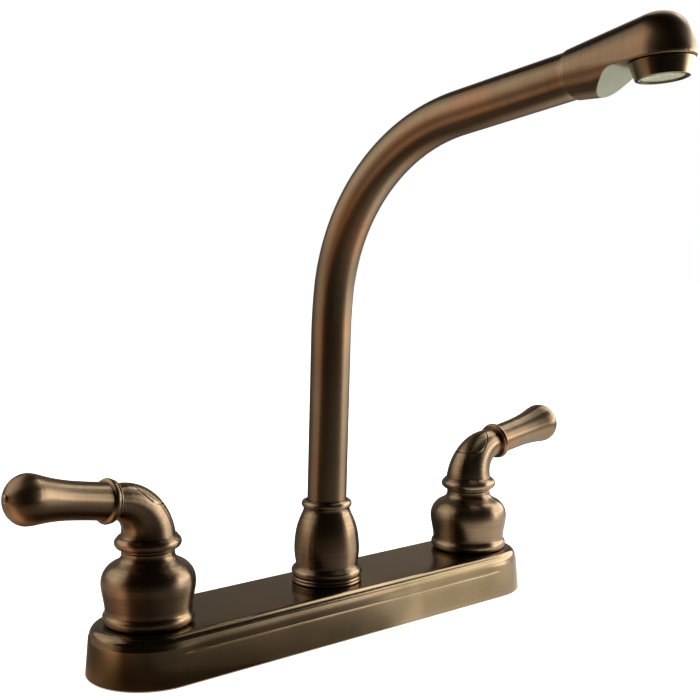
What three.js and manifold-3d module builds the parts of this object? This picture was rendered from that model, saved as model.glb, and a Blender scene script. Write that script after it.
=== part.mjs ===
// Two handle kitchen faucet: a tall bent spout and two teapot lever handles on a long deck cover.
// Millimetres, +Z up. The origin is the middle of the underside, +X points to the cold handle
// and -Y to the sink. The spout is turned a little towards the cold side.
import * as THREE from 'three';
import { mergeVertices } from 'three/addons/utils/BufferGeometryUtils.js';
import { ConvexGeometry } from 'three/addons/geometries/ConvexGeometry.js';
import Module from 'manifold-3d';

const wasm = await Module();
wasm.setup();

// ---------------------------------------------------------------- driving dimensions

const GAP = 0.3; // clearance between neighbouring pieces
const SHOWN_FACETS = 20; // round a piece that shows
const INNER_FACETS = 14; // round a piece inside

const handleCentres = 203.2; // standard eight-inch spread

const cover = { overhang: 28.25, width: 55.3, height: 22.2, wall: 2, fillet: 4.4, draft: 1.9 };
const overCover = (height) => cover.height + height; // a height over the top of the cover
const gasketThickness = 1.5;
const basePlateThickness = 2;
const baseScrew = { x: 55, y: 13, radius: 1.8, headRadius: 3.4, headHeight: 1.4, bite: 11, boss: 4 };

const pipe = { radius: 4.75, wall: 1, socket: 3.5, headroom: 0.95 }; // the two cross tubes
const crossTube = {
  radius: pipe.radius, bore: pipe.radius - pipe.wall, socket: pipe.socket,
  height: cover.height - cover.wall - pipe.headroom - pipe.radius,
};

const deckGrip = 20; // underside of the cover to the lock washers
const shank = { radius: 10.4, bore: 6.3, below: 45 };
const [barrelBore, barrelWall] = [10, 4];
const barrel = { bore: barrelBore, radius: barrelBore + barrelWall, top: overCover(7.8) };
const flange = { radius: barrel.radius + 5, height: 3 };
const seatTop = crossTube.height - crossTube.bore - 1.05; // just under the outlet of the valve
const seat = {
  top: seatTop, pocket: 5.8, webTop: seatTop - 8.7, webFoot: seatTop - 11.7, webHole: 3.2,
};
const lockWasher = { radius: 18, thickness: 1.5 };
const lockNut = { corner: 17.5, height: 8.5 };

const stemRadius = 4.2;
const stem = {
  radius: stemRadius, shoulder: stemRadius + 1.4, shoulderFoot: overCover(8.8),
  shoulderTop: overCover(17.8), top: overCover(43.8),
};
const stemPort = { bore: 3.2, window: 2.6 }; // up the middle of the stem and out of its side
const stemGroove = {
  foot: overCover(12.3), height: 2.5, radius: stem.shoulder - 1.7, ringWire: 0.75,
};
const neckBore = stem.shoulder + 0.4;
const cartridge = {
  wall: 1.2, neckRadius: neckBore + 1.5, neckBore, neckTop: overCover(19.8), lid: 2.5,
};
const bonnetNut = { corner: barrel.radius + 4, foot: overCover(1.3), plate: 4 };
const seatSeal = { inner: 3, height: 4.7, proud: 1.5 };
const seatSpring = { wire: 0.5, coils: 3, sides: 3, stepsPerCoil: 8 };

const bellInside = bonnetNut.corner + 0.4; // clears the corners of the nut
const bell = {
  inside: bellInside, lip: bellInside + 0.8, bead: bellInside + 2, beadRound: 3,
  waist: bellInside + 0.95, belly: bellInside + 2.45, neck: cartridge.neckRadius + 4.2,
  beadHeight: overCover(4), waistHeight: overCover(7.8), bellyHeight: overCover(18),
  neckHeight: overCover(30.4), top: overCover(32.1),
};

const hub = {
  foot: 12.3, bead: 14.8, beadHeight: overCover(35.8), beadRound: 2.7, root: 12.7, end: 7.4,
  bendFoot: overCover(38.4), bendRadius: 17.6, rise: 9.9, length: 31.8, web: 3.4,
};
const handleScrew = { radius: 2, headRadius: 3.8, headHeight: 2.9, bite: 10 };
const indexCap = { radius: 9.2, offset: 1.7, foot: overCover(51.4) };
const lever = {
  ring: 9.8, ringWire: 1.7, root: 8.2, waist: 8.15, waistAt: 12, grip: 9.3, gripAt: 30.5,
  bulb: 10.75, bulbAt: 40.8, length: 47.4, knob: 2.3, knobHeight: 1, stud: 3.5, studLength: 6.3,
};
const hotHandleTurn = 186.5; // where each lever points at rest, in degrees from +X
const coldHandleTurn = 0;

const tube = { radius: 9.73, wall: 1.43, foot: overCover(17.8), leanHeight: overCover(35.8) };
const tubeInside = tube.radius - tube.wall;
const leanBend = { radius: 100, angle: 2.2 };
const risingLength = 86.4;
const easyBend = { radius: 215, angle: 5.5 };
const mainBend = { radius: 93.8, angle: 72.65 };
const reachLength = 58.2;
const spoutTurn = 5.4; // about +Z, from straight ahead towards the cold side

const postBore = tube.radius + 0.62; // the spout tube turns in it
const post = {
  bore: postBore, radius: postBore + 2.25, top: overCover(25.8), floor: 0.9, socket: 1.8,
};
const bushing = { foot: overCover(0.8), spigot: 10, bore: tubeInside - GAP - 1.7 };
const bushingGrooves = {
  upper: overCover(8.8), lower: overCover(3.8), height: 2.9, depth: 2.25, ringWire: 1.1,
};
const slipRing = { thickness: 1.8, groove: 0.73 }; // snaps into a groove round the spout tube

const collarInside = post.radius + GAP;
const collarBore = tube.radius + 0.5; // the tube turns in the collar
const trimRing = { radius: collarInside + 4.5, thickness: 1.25 };
const collar = {
  foot: collarInside + 3.5, bead: collarInside + 4.75, beadHeight: overCover(5.4),
  beadRound: 2.15, dip: collarInside + 2.55, dipHeight: overCover(9),
  belly: collarInside + 3.3, bellyHeight: overCover(16.9),
  waist: collarBore + 1.22, waistHeight: overCover(36.2),
  lip: collarBore + 2.27, lipHeight: overCover(38.7), lipRound: 1.9, top: overCover(40.7),
  shelf: post.top + slipRing.thickness + 2 * GAP,
};

const threadRadius = 10.6; // of the aerator, whose cup, bore and mouth follow it
const aerator = {
  thread: threadRadius, threadHeight: 6.5, rim: threadRadius - 0.2, shoulder: threadRadius + 1.9,
  height: 6.5, bore: threadRadius - 1.2, mouth: threadRadius - 2.1, lip: 0.8, seat: 9,
};
const aeratorWasher = { inner: 6.5, thickness: 1.9 };
const aeratorJets = { radius: 1.1, circle: 4.8, count: 6 };
const head = {
  sleeve: tube.radius + 0.65, sleeveRound: 0.5, rise: 7.6, flare: 0.107, sideFlare: 0.08,
  tail: 12, lowerLip: 14.5,
};
const passage = { radius: 4.6, rise: 17, length: 36 }; // through the head, over the scoop
const outlet = { ahead: 39.3, above: 1.6, lean: 5.7 }; // from the end of the tube
const dome = { radius: aerator.thread + GAP + 2.2, height: 17.7, fullness: 0.7 };
const scoop = { wallBehind: dome.radius + 3.8, wallSlope: 41.5, ceiling: 0.2, round: 3 };

// ------------------------------------------------------------------------ shape helpers

const radians = THREE.MathUtils.degToRad;

// Points of a circular arc, as [radius, height] pairs, anticlockwise when `to` exceeds `from`.
function arc(centreR, centreZ, radius, from, to, steps) {
  return Array.from({ length: steps + 1 }, (_, i) => {
    const angle = radians(from + ((to - from) * i) / steps);
    return [centreR + radius * Math.cos(angle), centreZ + radius * Math.sin(angle)];
  });
}

// A smooth line through a few [radius, height] pairs.
function flow(points, steps) {
  const curve = new THREE.SplineCurve(points.map(([r, z]) => new THREE.Vector2(r, z)));
  return curve.getPoints(steps).map((p) => [p.x, p.y]);
}

// Turns an anticlockwise profile of [radius, height] pairs about Z. A profile that leaves the
// axis free is closed on itself.
function revolve(profile, facets, start = 0) {
  const points = profile.map(([r, z]) => new THREE.Vector2(r, z));
  if (profile[0][0] > 0) points.push(points[0].clone());
  return new THREE.LatheGeometry(points, facets, start).rotateX(Math.PI / 2);
}

// A plain round bar along Z.
function bar(radius, foot, top, facets = INNER_FACETS) {
  return revolve([[0, foot], [radius, foot], [radius, top], [0, top]], facets);
}

// A plain ring about Z.
function ring(inner, outer, foot, top, facets = INNER_FACETS) {
  return revolve([[inner, foot], [outer, foot], [outer, top], [inner, top]], facets);
}

// A round-section seal ring about Z.
function sealRing(middle, wire, height) {
  return revolve(arc(middle, height, wire, 0, 360, 6).slice(0, -1), INNER_FACETS);
}

// A six-sided bar along Z.
function hexBar(corner, foot, top) {
  const shape = new THREE.CylinderGeometry(corner, corner, top - foot, 6);
  return shape.rotateX(Math.PI / 2).translate(0, 0, (foot + top) / 2);
}

// A revolved profile pulled apart along X, which leaves flat sides and round ends.
function oblong(profile, straight, facets = 36) {
  const geometry = revolve(profile, facets, Math.PI / facets);
  const position = geometry.attributes.position;
  for (let i = 0; i < position.count; i++) {
    const x = position.getX(i);
    if (Math.abs(x) > 1e-6) position.setX(i, x + (Math.sign(x) * straight) / 2);
  }
  return geometry;
}

// Triangles of a geometry as a solid that can be joined and cut.
function solid(geometry) {
  const bare = geometry.clone();
  for (const name of ['normal', 'uv']) bare.deleteAttribute(name);
  const merged = mergeVertices(bare, 1e-4);
  const kept = [];
  for (let i = 0; i < merged.index.count; i += 3) {
    const [a, b, c] = [0, 1, 2].map((k) => merged.index.getX(i + k));
    if (a !== b && b !== c && c !== a) kept.push(a, b, c);
  }
  return new wasm.Manifold(new wasm.Mesh({
    numProp: 3,
    vertProperties: merged.attributes.position.array,
    triVerts: Uint32Array.from(kept),
  }));
}

function geometryOf(manifold) {
  const mesh = manifold.getMesh();
  const geometry = new THREE.BufferGeometry();
  geometry.setAttribute('position', new THREE.BufferAttribute(mesh.vertProperties, 3));
  geometry.setIndex(new THREE.BufferAttribute(mesh.triVerts, 1));
  geometry.computeVertexNormals();
  return geometry;
}

function cut(body, ...tools) {
  const left = tools.reduce((made, tool) => made.subtract(solid(tool)), solid(body));
  return geometryOf(left);
}

function join(...bodies) {
  return geometryOf(bodies.map(solid).reduce((made, next) => made.add(next)));
}

function common(a, b) {
  return geometryOf(solid(a).intersect(solid(b)));
}

// ---------------------------------------------------------------------------- materials

const finish = (color, roughness, metalness) =>
  () => new THREE.MeshStandardMaterial({ color, roughness, metalness });
const bronze = finish(0x5a3a26, 0.32, 1);
const darkBronze = finish(0x3c3224, 0.3, 1);
const brass = finish(0xb48a45, 0.4, 1);
const copper = finish(0xb4693c, 0.35, 1);
const steel = finish(0x9a9c9e, 0.4, 1);
const rubber = finish(0x1b1b1c, 0.85, 0);
const blackPlastic = finish(0x26272a, 0.6, 0);
const palePlastic = finish(0xd8dcc8, 0.45, 0);

const faucet = new THREE.Group();

function piece(name, geometry, material, parent = faucet) {
  const mesh = new THREE.Mesh(geometry, material());
  mesh.name = name;
  parent.add(mesh);
  return mesh;
}

// ------------------------------------------------------------------------- deck assembly

const straight = handleCentres + 2 * cover.overhang - cover.width;
const coverRadius = cover.width / 2;
const baseTop = gasketThickness + GAP + basePlateThickness;
const baseRadius = coverRadius - cover.wall - (cover.draft * baseTop) / cover.height - GAP;
const flangeFoot = baseTop + GAP;
const flangeTop = flangeFoot + flange.height;
const trimFoot = cover.height + GAP;
const sides = [-1, 1];

// Round tools at both handle centres.
const atHandles = (radius, foot, top) =>
  sides.map((side) => bar(radius, foot, top).translate((side * handleCentres) / 2, 0, 0));

// Round tools at both base screws, which stand diagonally across the cover.
const atScrews = (radius, foot, top) =>
  sides.map((side) => bar(radius, foot, top).translate(side * baseScrew.x, side * baseScrew.y, 0));

function deckCover() {
  const topRadius = coverRadius - cover.draft;
  const ceiling = cover.height - cover.wall;
  const shell = oblong([
    [0, ceiling],
    [topRadius - cover.wall, ceiling],
    [coverRadius - cover.wall, 0],
    [coverRadius, 0],
    ...arc(topRadius - cover.fillet, cover.height - cover.fillet, cover.fillet, 3, 90, 5),
    [0, cover.height],
  ], straight);
  const bosses = atScrews(baseScrew.boss, flangeFoot, ceiling + cover.wall / 2);
  return cut(
    join(shell, ...bosses),
    ...atHandles(barrel.radius + GAP, 0, cover.height + 1),
    bar(post.radius + GAP, 0, cover.height + 1, SHOWN_FACETS),
    ...atScrews(baseScrew.radius + GAP, 0, baseTop + baseScrew.bite + GAP),
  );
}

function basePlate() {
  const foot = gasketThickness + GAP;
  const sheet = oblong([[0, foot], [baseRadius, foot], [baseRadius, baseTop], [0, baseTop]], straight);
  return cut(
    sheet,
    ...atHandles(shank.radius + GAP, 0, baseTop + 1),
    ...atScrews(baseScrew.radius + GAP, 0, baseTop + 1),
    ...atScrews(baseScrew.headRadius + GAP, 0, foot + baseScrew.headHeight - GAP),
  );
}

function baseGasket() {
  const top = gasketThickness;
  const sheet = oblong([[0, 0], [baseRadius, 0], [baseRadius, top], [0, top]], straight);
  return cut(sheet, ...atHandles(shank.radius + GAP, -1, top + 1));
}

function baseScrewShape() {
  const foot = gasketThickness + GAP;
  const shoulder = foot + baseScrew.headHeight - 2 * GAP;
  return revolve([
    [0, foot], [baseScrew.headRadius, foot], [baseScrew.headRadius, shoulder],
    [baseScrew.radius, shoulder], [baseScrew.radius, baseTop + baseScrew.bite],
    [0, baseTop + baseScrew.bite],
  ], INNER_FACETS);
}

piece('deck_cover', deckCover(), darkBronze);
piece('base_plate', basePlate(), blackPlastic);
piece('base_gasket', baseGasket(), rubber);
for (const [name, side] of [['left', -1], ['right', 1]]) {
  const screw = piece(`base_screw_${name}`, baseScrewShape(), steel);
  screw.position.set(side * baseScrew.x, side * baseScrew.y, 0);
}

// --------------------------------------------------------------------------- one valve

// The body stands at the origin with its outlet towards +X.
function valveBody() {
  const turned = revolve([
    [shank.bore, -shank.below], [shank.radius, -shank.below], [shank.radius, flangeFoot],
    [flange.radius, flangeFoot], [flange.radius, flangeTop], [barrel.radius, flangeTop],
    [barrel.radius, barrel.top], [barrel.bore, barrel.top], [barrel.bore, seat.top],
    [seat.pocket, seat.top], [seat.pocket, seat.webTop], [seat.webHole, seat.webTop],
    [seat.webHole, seat.webFoot], [shank.bore, seat.webFoot],
  ], INNER_FACETS);
  const socketFoot = barrel.radius - crossTube.socket;
  return cut(turned, alongX(crossTube.radius + GAP, socketFoot, flange.radius + 1),
    alongX(crossTube.bore, 0, barrel.radius));
}

// A round bar along X at the height of the cross tubes.
function alongX(radius, from, to) {
  return bar(radius, from, to).rotateY(Math.PI / 2).translate(0, 0, crossTube.height);
}

const lidFoot = barrel.top - cartridge.lid;
const sealTop = seat.top + seatSeal.proud;
const sealFoot = sealTop - seatSeal.height;

function cartridgeHousing() {
  const outer = barrel.bore - GAP;
  const inner = outer - cartridge.wall;
  const foot = seat.top + GAP;
  const turned = revolve([
    [inner, foot], [outer, foot], [outer, barrel.top], [cartridge.neckRadius, barrel.top],
    [cartridge.neckRadius, cartridge.neckTop], [cartridge.neckBore, cartridge.neckTop],
    [cartridge.neckBore, lidFoot], [inner, lidFoot],
  ], INNER_FACETS);
  return cut(turned, alongX(crossTube.bore - 2 * GAP, 0, outer + 1));
}

// A hollow rotor whose side window faces the outlet when the handle is open, and a shaft that
// carries the handle. `windowTurn` is where the window looks while the handle is closed.
function stemShape(windowTurn) {
  const rotorRadius = barrel.bore - 2 * GAP - cartridge.wall;
  const foot = sealTop + GAP;
  const rotorTop = lidFoot - GAP;
  const grooveTop = stemGroove.foot + stemGroove.height;
  const hole = handleScrew.radius + GAP;
  const holeFoot = stem.top - handleScrew.bite - 2;
  const turned = revolve([
    [0, foot], [rotorRadius, foot], [rotorRadius, rotorTop],
    [stem.radius, rotorTop], [stem.radius, stem.shoulderFoot],
    [stem.shoulder, stem.shoulderFoot], [stem.shoulder, stemGroove.foot],
    [stemGroove.radius, stemGroove.foot], [stemGroove.radius, grooveTop],
    [stem.shoulder, grooveTop], [stem.shoulder, stem.shoulderTop],
    [stem.radius, stem.shoulderTop], [stem.radius, stem.top], [hole, stem.top],
    [hole, holeFoot], [0, holeFoot],
  ], INNER_FACETS);
  return cut(
    turned,
    bar(stemPort.bore, foot - 1, crossTube.height + stemPort.window),
    alongX(stemPort.window, 0, rotorRadius + 1).rotateZ(windowTurn),
  );
}

// The spring that lifts the seat seal: one wire round a helix.
function seatSpringShape() {
  const coilRadius = seat.pocket - GAP - seatSpring.wire;
  const foot = seat.webTop + GAP + seatSpring.wire;
  const height = sealFoot - GAP - seatSpring.wire - foot;
  class Helix extends THREE.Curve {
    getPoint(t) {
      const turn = 2 * Math.PI * seatSpring.coils * t;
      return new THREE.Vector3(
        coilRadius * Math.cos(turn), coilRadius * Math.sin(turn), foot + height * t);
    }
  }
  const wire = new THREE.Shape().absarc(0, 0, seatSpring.wire, 0, 2 * Math.PI);
  return new THREE.ExtrudeGeometry(wire, {
    steps: seatSpring.coils * seatSpring.stepsPerCoil,
    extrudePath: new Helix(),
    curveSegments: seatSpring.sides,
    bevelEnabled: false,
  });
}

function bonnetNutShape() {
  const top = barrel.top + GAP + bonnetNut.plate;
  return cut(
    hexBar(bonnetNut.corner, bonnetNut.foot, top),
    bar(barrel.radius + GAP, bonnetNut.foot - 1, barrel.top + GAP),
    bar(cartridge.neckRadius + GAP, barrel.top, top + 1),
  );
}

function bellShape() {
  const bore = bell.neck - 1.3;
  return revolve([
    [bell.inside, trimFoot],
    [bell.lip, trimFoot],
    ...arc(bell.bead - bell.beadRound, bell.beadHeight, bell.beadRound, -50, 50, 4),
    ...flow([
      [bell.waist, bell.waistHeight],
      [(bell.waist + bell.belly) / 2 + 0.1, (bell.waistHeight + bell.bellyHeight) / 2],
      [bell.belly, bell.bellyHeight],
      [bell.belly - 1.05, bell.bellyHeight + 4.6],
      [bell.belly - 3.5, bell.bellyHeight + 7.7],
      [bell.neck + 1.9, bell.neckHeight - 2.5],
      [bell.neck, bell.neckHeight],
    ], 9),
    [bell.neck + 0.1, bell.top],
    [bore, bell.top],
    [bore, bell.neckHeight - 1.1],
    [bell.inside - 3.8, bell.bellyHeight + 7],
    [bell.inside, bell.bellyHeight + 1.8],
  ], SHOWN_FACETS);
}

function lockNutShape() {
  const top = -deckGrip - lockWasher.thickness - GAP;
  return cut(hexBar(lockNut.corner, top - lockNut.height, top),
    bar(shank.radius + GAP, top - lockNut.height - 1, top + 1));
}

// ---------------------------------------------------------------------------- one handle

const hubFoot = bell.top + GAP;
const hubEnd = hub.beadHeight + hub.length;
const hubBendAngle = Math.PI / 2 - radians(hub.rise);
const screwShoulder = stem.top + 2 * GAP + hub.web;

// A point at `z` along the handle's middle line, which is upright and then bends towards +X.
function hubFrame(z) {
  const angle = THREE.MathUtils.clamp((z - hub.bendFoot) / hub.bendRadius, 0, hubBendAngle);
  const along = z - hub.bendFoot - hub.bendRadius * angle;
  const tangent = new THREE.Vector3(Math.sin(angle), 0, Math.cos(angle));
  const normal = new THREE.Vector3(Math.cos(angle), 0, -Math.sin(angle));
  const middle = new THREE.Vector3(
    hub.bendRadius * (1 - Math.cos(angle)), 0, hub.bendFoot + hub.bendRadius * Math.sin(angle));
  return { middle: middle.addScaledVector(tangent, along), normal };
}

function hubOutside() {
  const rings = 8;
  const beadTop = hub.beadHeight + 3;
  const taper = Array.from({ length: rings + 1 }, (_, i) => {
    const z = beadTop + ((hubEnd - beadTop) * i) / rings;
    const share = (z - hub.beadHeight) / hub.length;
    return [hub.root + (hub.end - hub.root) * share, z];
  });
  const geometry = revolve([
    [0, hubFoot],
    [hub.foot, hubFoot],
    ...arc(hub.bead - hub.beadRound, hub.beadHeight, hub.beadRound, -72, 60, 4),
    ...taper,
    [0, hubEnd],
  ], SHOWN_FACETS);
  const position = geometry.attributes.position;
  for (let i = 0; i < position.count; i++) {
    const { middle, normal } = hubFrame(position.getZ(i));
    const bent = middle.addScaledVector(normal, position.getX(i));
    position.setXYZ(i, bent.x, position.getY(i), bent.z);
  }
  return geometry;
}

// A round tool that stands upright where the index cap sits.
const capTool = (radius, foot) => bar(radius, foot, hubEnd + hub.root, 24).translate(indexCap.offset, 0, 0);

// Where the lever's ring bead sits, and a turn that lays +Z along the lever.
const leverFoot = hubFrame(hubEnd + lever.ringWire + GAP).middle;
const leverTilt = hubBendAngle;

function hubShape() {
  const socket = bar(lever.stud + GAP, -lever.ringWire - lever.studLength - GAP, 0);
  socket.rotateY(leverTilt).translate(leverFoot.x, 0, leverFoot.z);
  return cut(
    hubOutside(),
    bar(stem.radius + GAP, hubFoot - 1, stem.top + GAP),
    bar(handleScrew.radius + GAP, stem.top, screwShoulder),
    bar(handleScrew.headRadius + GAP, screwShoulder - GAP, indexCap.foot),
    capTool(indexCap.radius + GAP, indexCap.foot - GAP),
    socket,
  );
}

function indexCapShape() {
  return common(hubOutside(), capTool(indexCap.radius, indexCap.foot));
}

function handleScrewShape() {
  return revolve([
    [0, stem.top - handleScrew.bite], [handleScrew.radius, stem.top - handleScrew.bite],
    [handleScrew.radius, screwShoulder], [handleScrew.headRadius, screwShoulder],
    [handleScrew.headRadius, screwShoulder + handleScrew.headHeight - 0.8],
    [handleScrew.headRadius - 0.8, screwShoulder + handleScrew.headHeight],
    [0, screwShoulder + handleScrew.headHeight],
  ], INNER_FACETS);
}

// The lever lies along +Z here, with its ring bead at the origin.
function leverShape() {
  const bulbEnd = lever.length - lever.bulbAt;
  const roundEnd = arc(0, 0, 1, 12, 77, 4).map(([x, y]) => [lever.bulb * x, lever.bulbAt + bulbEnd * y]);
  return revolve([
    [0, -lever.ringWire - lever.studLength],
    [lever.stud, -lever.ringWire - lever.studLength],
    [lever.stud, -lever.ringWire],
    ...arc(lever.ring - lever.ringWire, 0, lever.ringWire, -90, 65, 4),
    ...flow([
      [lever.root, lever.ringWire + 0.3],
      [lever.waist, lever.waistAt],
      [(lever.waist + lever.grip) / 2 - 0.3, (lever.waistAt + lever.gripAt) / 2 + 1],
      [lever.grip, lever.gripAt],
      [lever.bulb - 0.3, lever.bulbAt - 3.2],
      [lever.bulb, lever.bulbAt],
    ], 8),
    ...roundEnd,
    [lever.knob, lever.length],
    [lever.knob - 0.6, lever.length + lever.knobHeight],
    [0, lever.length + lever.knobHeight],
  ], SHOWN_FACETS);
}

for (const [name, side, turn] of [['hot', -1, hotHandleTurn], ['cold', 1, coldHandleTurn]]) {
  const valve = new THREE.Group();
  valve.position.x = (side * handleCentres) / 2;
  valve.rotation.z = side < 0 ? 0 : Math.PI;
  faucet.add(valve);
  piece(`${name}_valve_body`, valveBody(), brass, valve);
  piece(`${name}_cartridge_housing`, cartridgeHousing(), brass, valve);
  piece(`${name}_stem`, stemShape((side * Math.PI) / 2), brass, valve);
  const stemRing = sealRing(stemGroove.radius + GAP + stemGroove.ringWire, stemGroove.ringWire,
    stemGroove.foot + stemGroove.height / 2);
  piece(`${name}_stem_o_ring`, stemRing, rubber, valve);
  piece(`${name}_seat_seal`, ring(seatSeal.inner, seat.pocket - GAP, sealFoot, sealTop), rubber, valve);
  piece(`${name}_seat_spring`, seatSpringShape(), steel, valve);
  piece(`${name}_bonnet_nut`, bonnetNutShape(), brass, valve);
  piece(`${name}_bell`, bellShape(), bronze, valve);
  const washerFoot = -deckGrip - lockWasher.thickness;
  const washer = ring(shank.radius + GAP, lockWasher.radius, washerFoot, -deckGrip);
  piece(`${name}_lock_washer`, washer, steel, valve);
  piece(`${name}_lock_nut`, lockNutShape(), brass, valve);

  const handle = new THREE.Group();
  handle.position.x = (side * handleCentres) / 2;
  handle.rotation.z = radians(turn);
  faucet.add(handle);
  piece(`${name}_handle_hub`, hubShape(), bronze, handle);
  piece(`${name}_index_cap`, indexCapShape(), bronze, handle);
  piece(`${name}_handle_screw`, handleScrewShape(), steel, handle);
  const grip = piece(`${name}_lever`, leverShape(), bronze, handle);
  grip.position.copy(leverFoot);
  grip.rotation.y = leverTilt;
}

// ------------------------------------------------------------- spout post and cross tubes

function spoutPost() {
  const turned = revolve([
    [0, flangeFoot], [flange.radius, flangeFoot], [flange.radius, flangeTop],
    [post.radius, flangeTop], [post.radius, post.top], [post.bore, post.top],
    [post.bore, flangeTop + post.floor], [0, flangeTop + post.floor],
  ], INNER_FACETS);
  const socketFoot = post.radius - post.socket;
  const reach = flange.radius + 1;
  return cut(
    turned,
    alongX(crossTube.radius + GAP, socketFoot, reach),
    alongX(crossTube.radius + GAP, -reach, -socketFoot),
    alongX(crossTube.bore, -reach, reach),
  );
}

piece('spout_post', spoutPost(), brass);
for (const [name, side] of [['hot', -1], ['cold', 1]]) {
  const from = post.radius - post.socket + GAP;
  const to = handleCentres / 2 - barrel.radius + crossTube.socket - GAP;
  const straightPipe = ring(crossTube.bore, crossTube.radius, from, to).rotateY((side * Math.PI) / 2);
  piece(`${name}_cross_tube`, straightPipe.translate(0, 0, crossTube.height), copper);
}

// --------------------------------------------------------------------- collar of the spout

const slipFoot = post.top + GAP;
const slipGroove = tube.radius - slipRing.groove;

function trimRingShape(foot) {
  const [outer, top] = [trimRing.radius, foot + trimRing.thickness];
  return revolve([
    [collarInside, foot], [outer - 0.4, foot], [outer, foot + 0.4], [outer, top - 0.4],
    [outer - 0.4, top], [collarInside, top],
  ], SHOWN_FACETS);
}

function collarShape() {
  const foot = trimFoot + 2 * (trimRing.thickness + GAP);
  return revolve([
    [collarInside, foot],
    [collar.foot, foot],
    ...arc(collar.bead - collar.beadRound, collar.beadHeight, collar.beadRound, -60, 70, 4),
    ...flow([
      [collar.dip, collar.dipHeight],
      [collar.belly - 0.17, collar.bellyHeight - 3.6],
      [collar.belly, collar.bellyHeight],
      [collar.belly - 0.5, collar.bellyHeight + 6],
      [collar.belly - 2.05, collar.bellyHeight + 12.4],
      [collar.waist + 0.85, collar.waistHeight - 2.3],
      [collar.waist, collar.waistHeight],
    ], 9),
    ...arc(collar.lip - collar.lipRound, collar.lipHeight, collar.lipRound, -50, 80, 4),
    [collarBore, collar.top],
    [collarBore, collar.shelf],
    [collarInside, collar.shelf],
  ], SHOWN_FACETS);
}

piece('collar_ring_lower', trimRingShape(trimFoot), bronze);
piece('collar_ring_upper', trimRingShape(trimFoot + trimRing.thickness + GAP), bronze);
piece('spout_collar', collarShape(), bronze);
piece('spout_slip_ring', ring(slipGroove + GAP, post.radius - GAP, slipFoot,
  slipFoot + slipRing.thickness, SHOWN_FACETS), blackPlastic);

// ------------------------------------------------------------------------------- spout

// Everything from here on lies in the plane of the spout: [ahead, height] pairs, where ahead
// points to -Y before the group is turned.
const spout = new THREE.Group();
spout.rotation.z = radians(spoutTurn);
faucet.add(spout);
const inPlane = (ahead, height, aside = 0) => new THREE.Vector3(aside, -ahead, height);

class PlaneArc extends THREE.Curve {
  constructor(start, lean, radius, sweep) {
    super();
    Object.assign(this, { start, lean, radius, sweep });
  }

  getPoint(t) {
    const angle = this.lean + this.sweep * t;
    return inPlane(
      this.start.ahead + this.radius * (Math.cos(this.lean) - Math.cos(angle)),
      this.start.height + this.radius * (Math.sin(angle) - Math.sin(this.lean)));
  }
}

// The tube's middle line: upright in the post, then leaning, bending over and reaching out.
function spoutLine() {
  const line = new THREE.CurvePath();
  const now = { ahead: 0, height: tube.foot };
  let lean = 0;
  const straightRun = (length) => {
    const from = inPlane(now.ahead, now.height);
    now.ahead += length * Math.sin(lean);
    now.height += length * Math.cos(lean);
    line.add(new THREE.LineCurve3(from, inPlane(now.ahead, now.height)));
  };
  const bend = ({ radius, angle }) => {
    const sweep = radians(angle);
    const curve = new PlaneArc({ ...now }, lean, radius, sweep);
    line.add(curve);
    const end = curve.getPoint(1);
    [now.ahead, now.height] = [-end.y, end.z];
    lean += sweep;
  };
  const leanTangent = leanBend.radius * Math.tan(radians(leanBend.angle) / 2);
  straightRun(tube.leanHeight - leanTangent - tube.foot);
  bend(leanBend);
  straightRun(risingLength - leanTangent);
  bend(easyBend);
  bend(mainBend);
  straightRun(reachLength);
  return { line, end: now, lean };
}

const { line: tubeLine, end: tubeEnd, lean: tubeLean } = spoutLine();

function spoutTube() {
  const section = new THREE.Shape().absarc(0, 0, tube.radius, 0, 2 * Math.PI);
  section.holes.push(new THREE.Path().absarc(0, 0, tubeInside, 0, 2 * Math.PI));
  const bent = new THREE.ExtrudeGeometry(section, {
    steps: 28, extrudePath: tubeLine, curveSegments: 9, bevelEnabled: false,
  });
  return cut(bent, ring(slipGroove, tube.radius + 1, slipFoot - GAP,
    slipFoot + slipRing.thickness + GAP, SHOWN_FACETS));
}

function spoutBushing() {
  const outer = post.bore - 2 * GAP;
  const top = tube.foot - GAP;
  const groove = outer - bushingGrooves.depth;
  const steps = [bushingGrooves.lower, bushingGrooves.upper].flatMap((foot) => [
    [outer, foot], [groove, foot], [groove, foot + bushingGrooves.height],
    [outer, foot + bushingGrooves.height],
  ]);
  const spigot = tubeInside - GAP;
  return revolve([
    [bushing.bore, bushing.foot], [outer, bushing.foot], ...steps, [outer, top], [spigot, top],
    [spigot, top + bushing.spigot], [bushing.bore, top + bushing.spigot],
  ], INNER_FACETS);
}

function spoutSeal(foot) {
  const grooveRadius = post.bore - 2 * GAP - bushingGrooves.depth;
  return sealRing(grooveRadius + GAP + bushingGrooves.ringWire, bushingGrooves.ringWire,
    foot + bushingGrooves.height / 2);
}

const tubeRise = Math.PI / 2 - tubeLean;

// Lays a geometry that stands along Z at the end of the tube, where it points ahead and rises.
function aim(geometry, rise) {
  return geometry.rotateX(Math.PI / 2 - rise).translate(0, -tubeEnd.ahead, tubeEnd.height);
}

const outletAt = { ahead: tubeEnd.ahead + outlet.ahead, height: tubeEnd.height + outlet.above };

// Stands a geometry on the outlet, whose axis leans back a little.
function atOutlet(geometry) {
  return geometry.rotateX(-radians(outlet.lean)).translate(0, -outletAt.ahead, outletAt.height);
}

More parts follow.
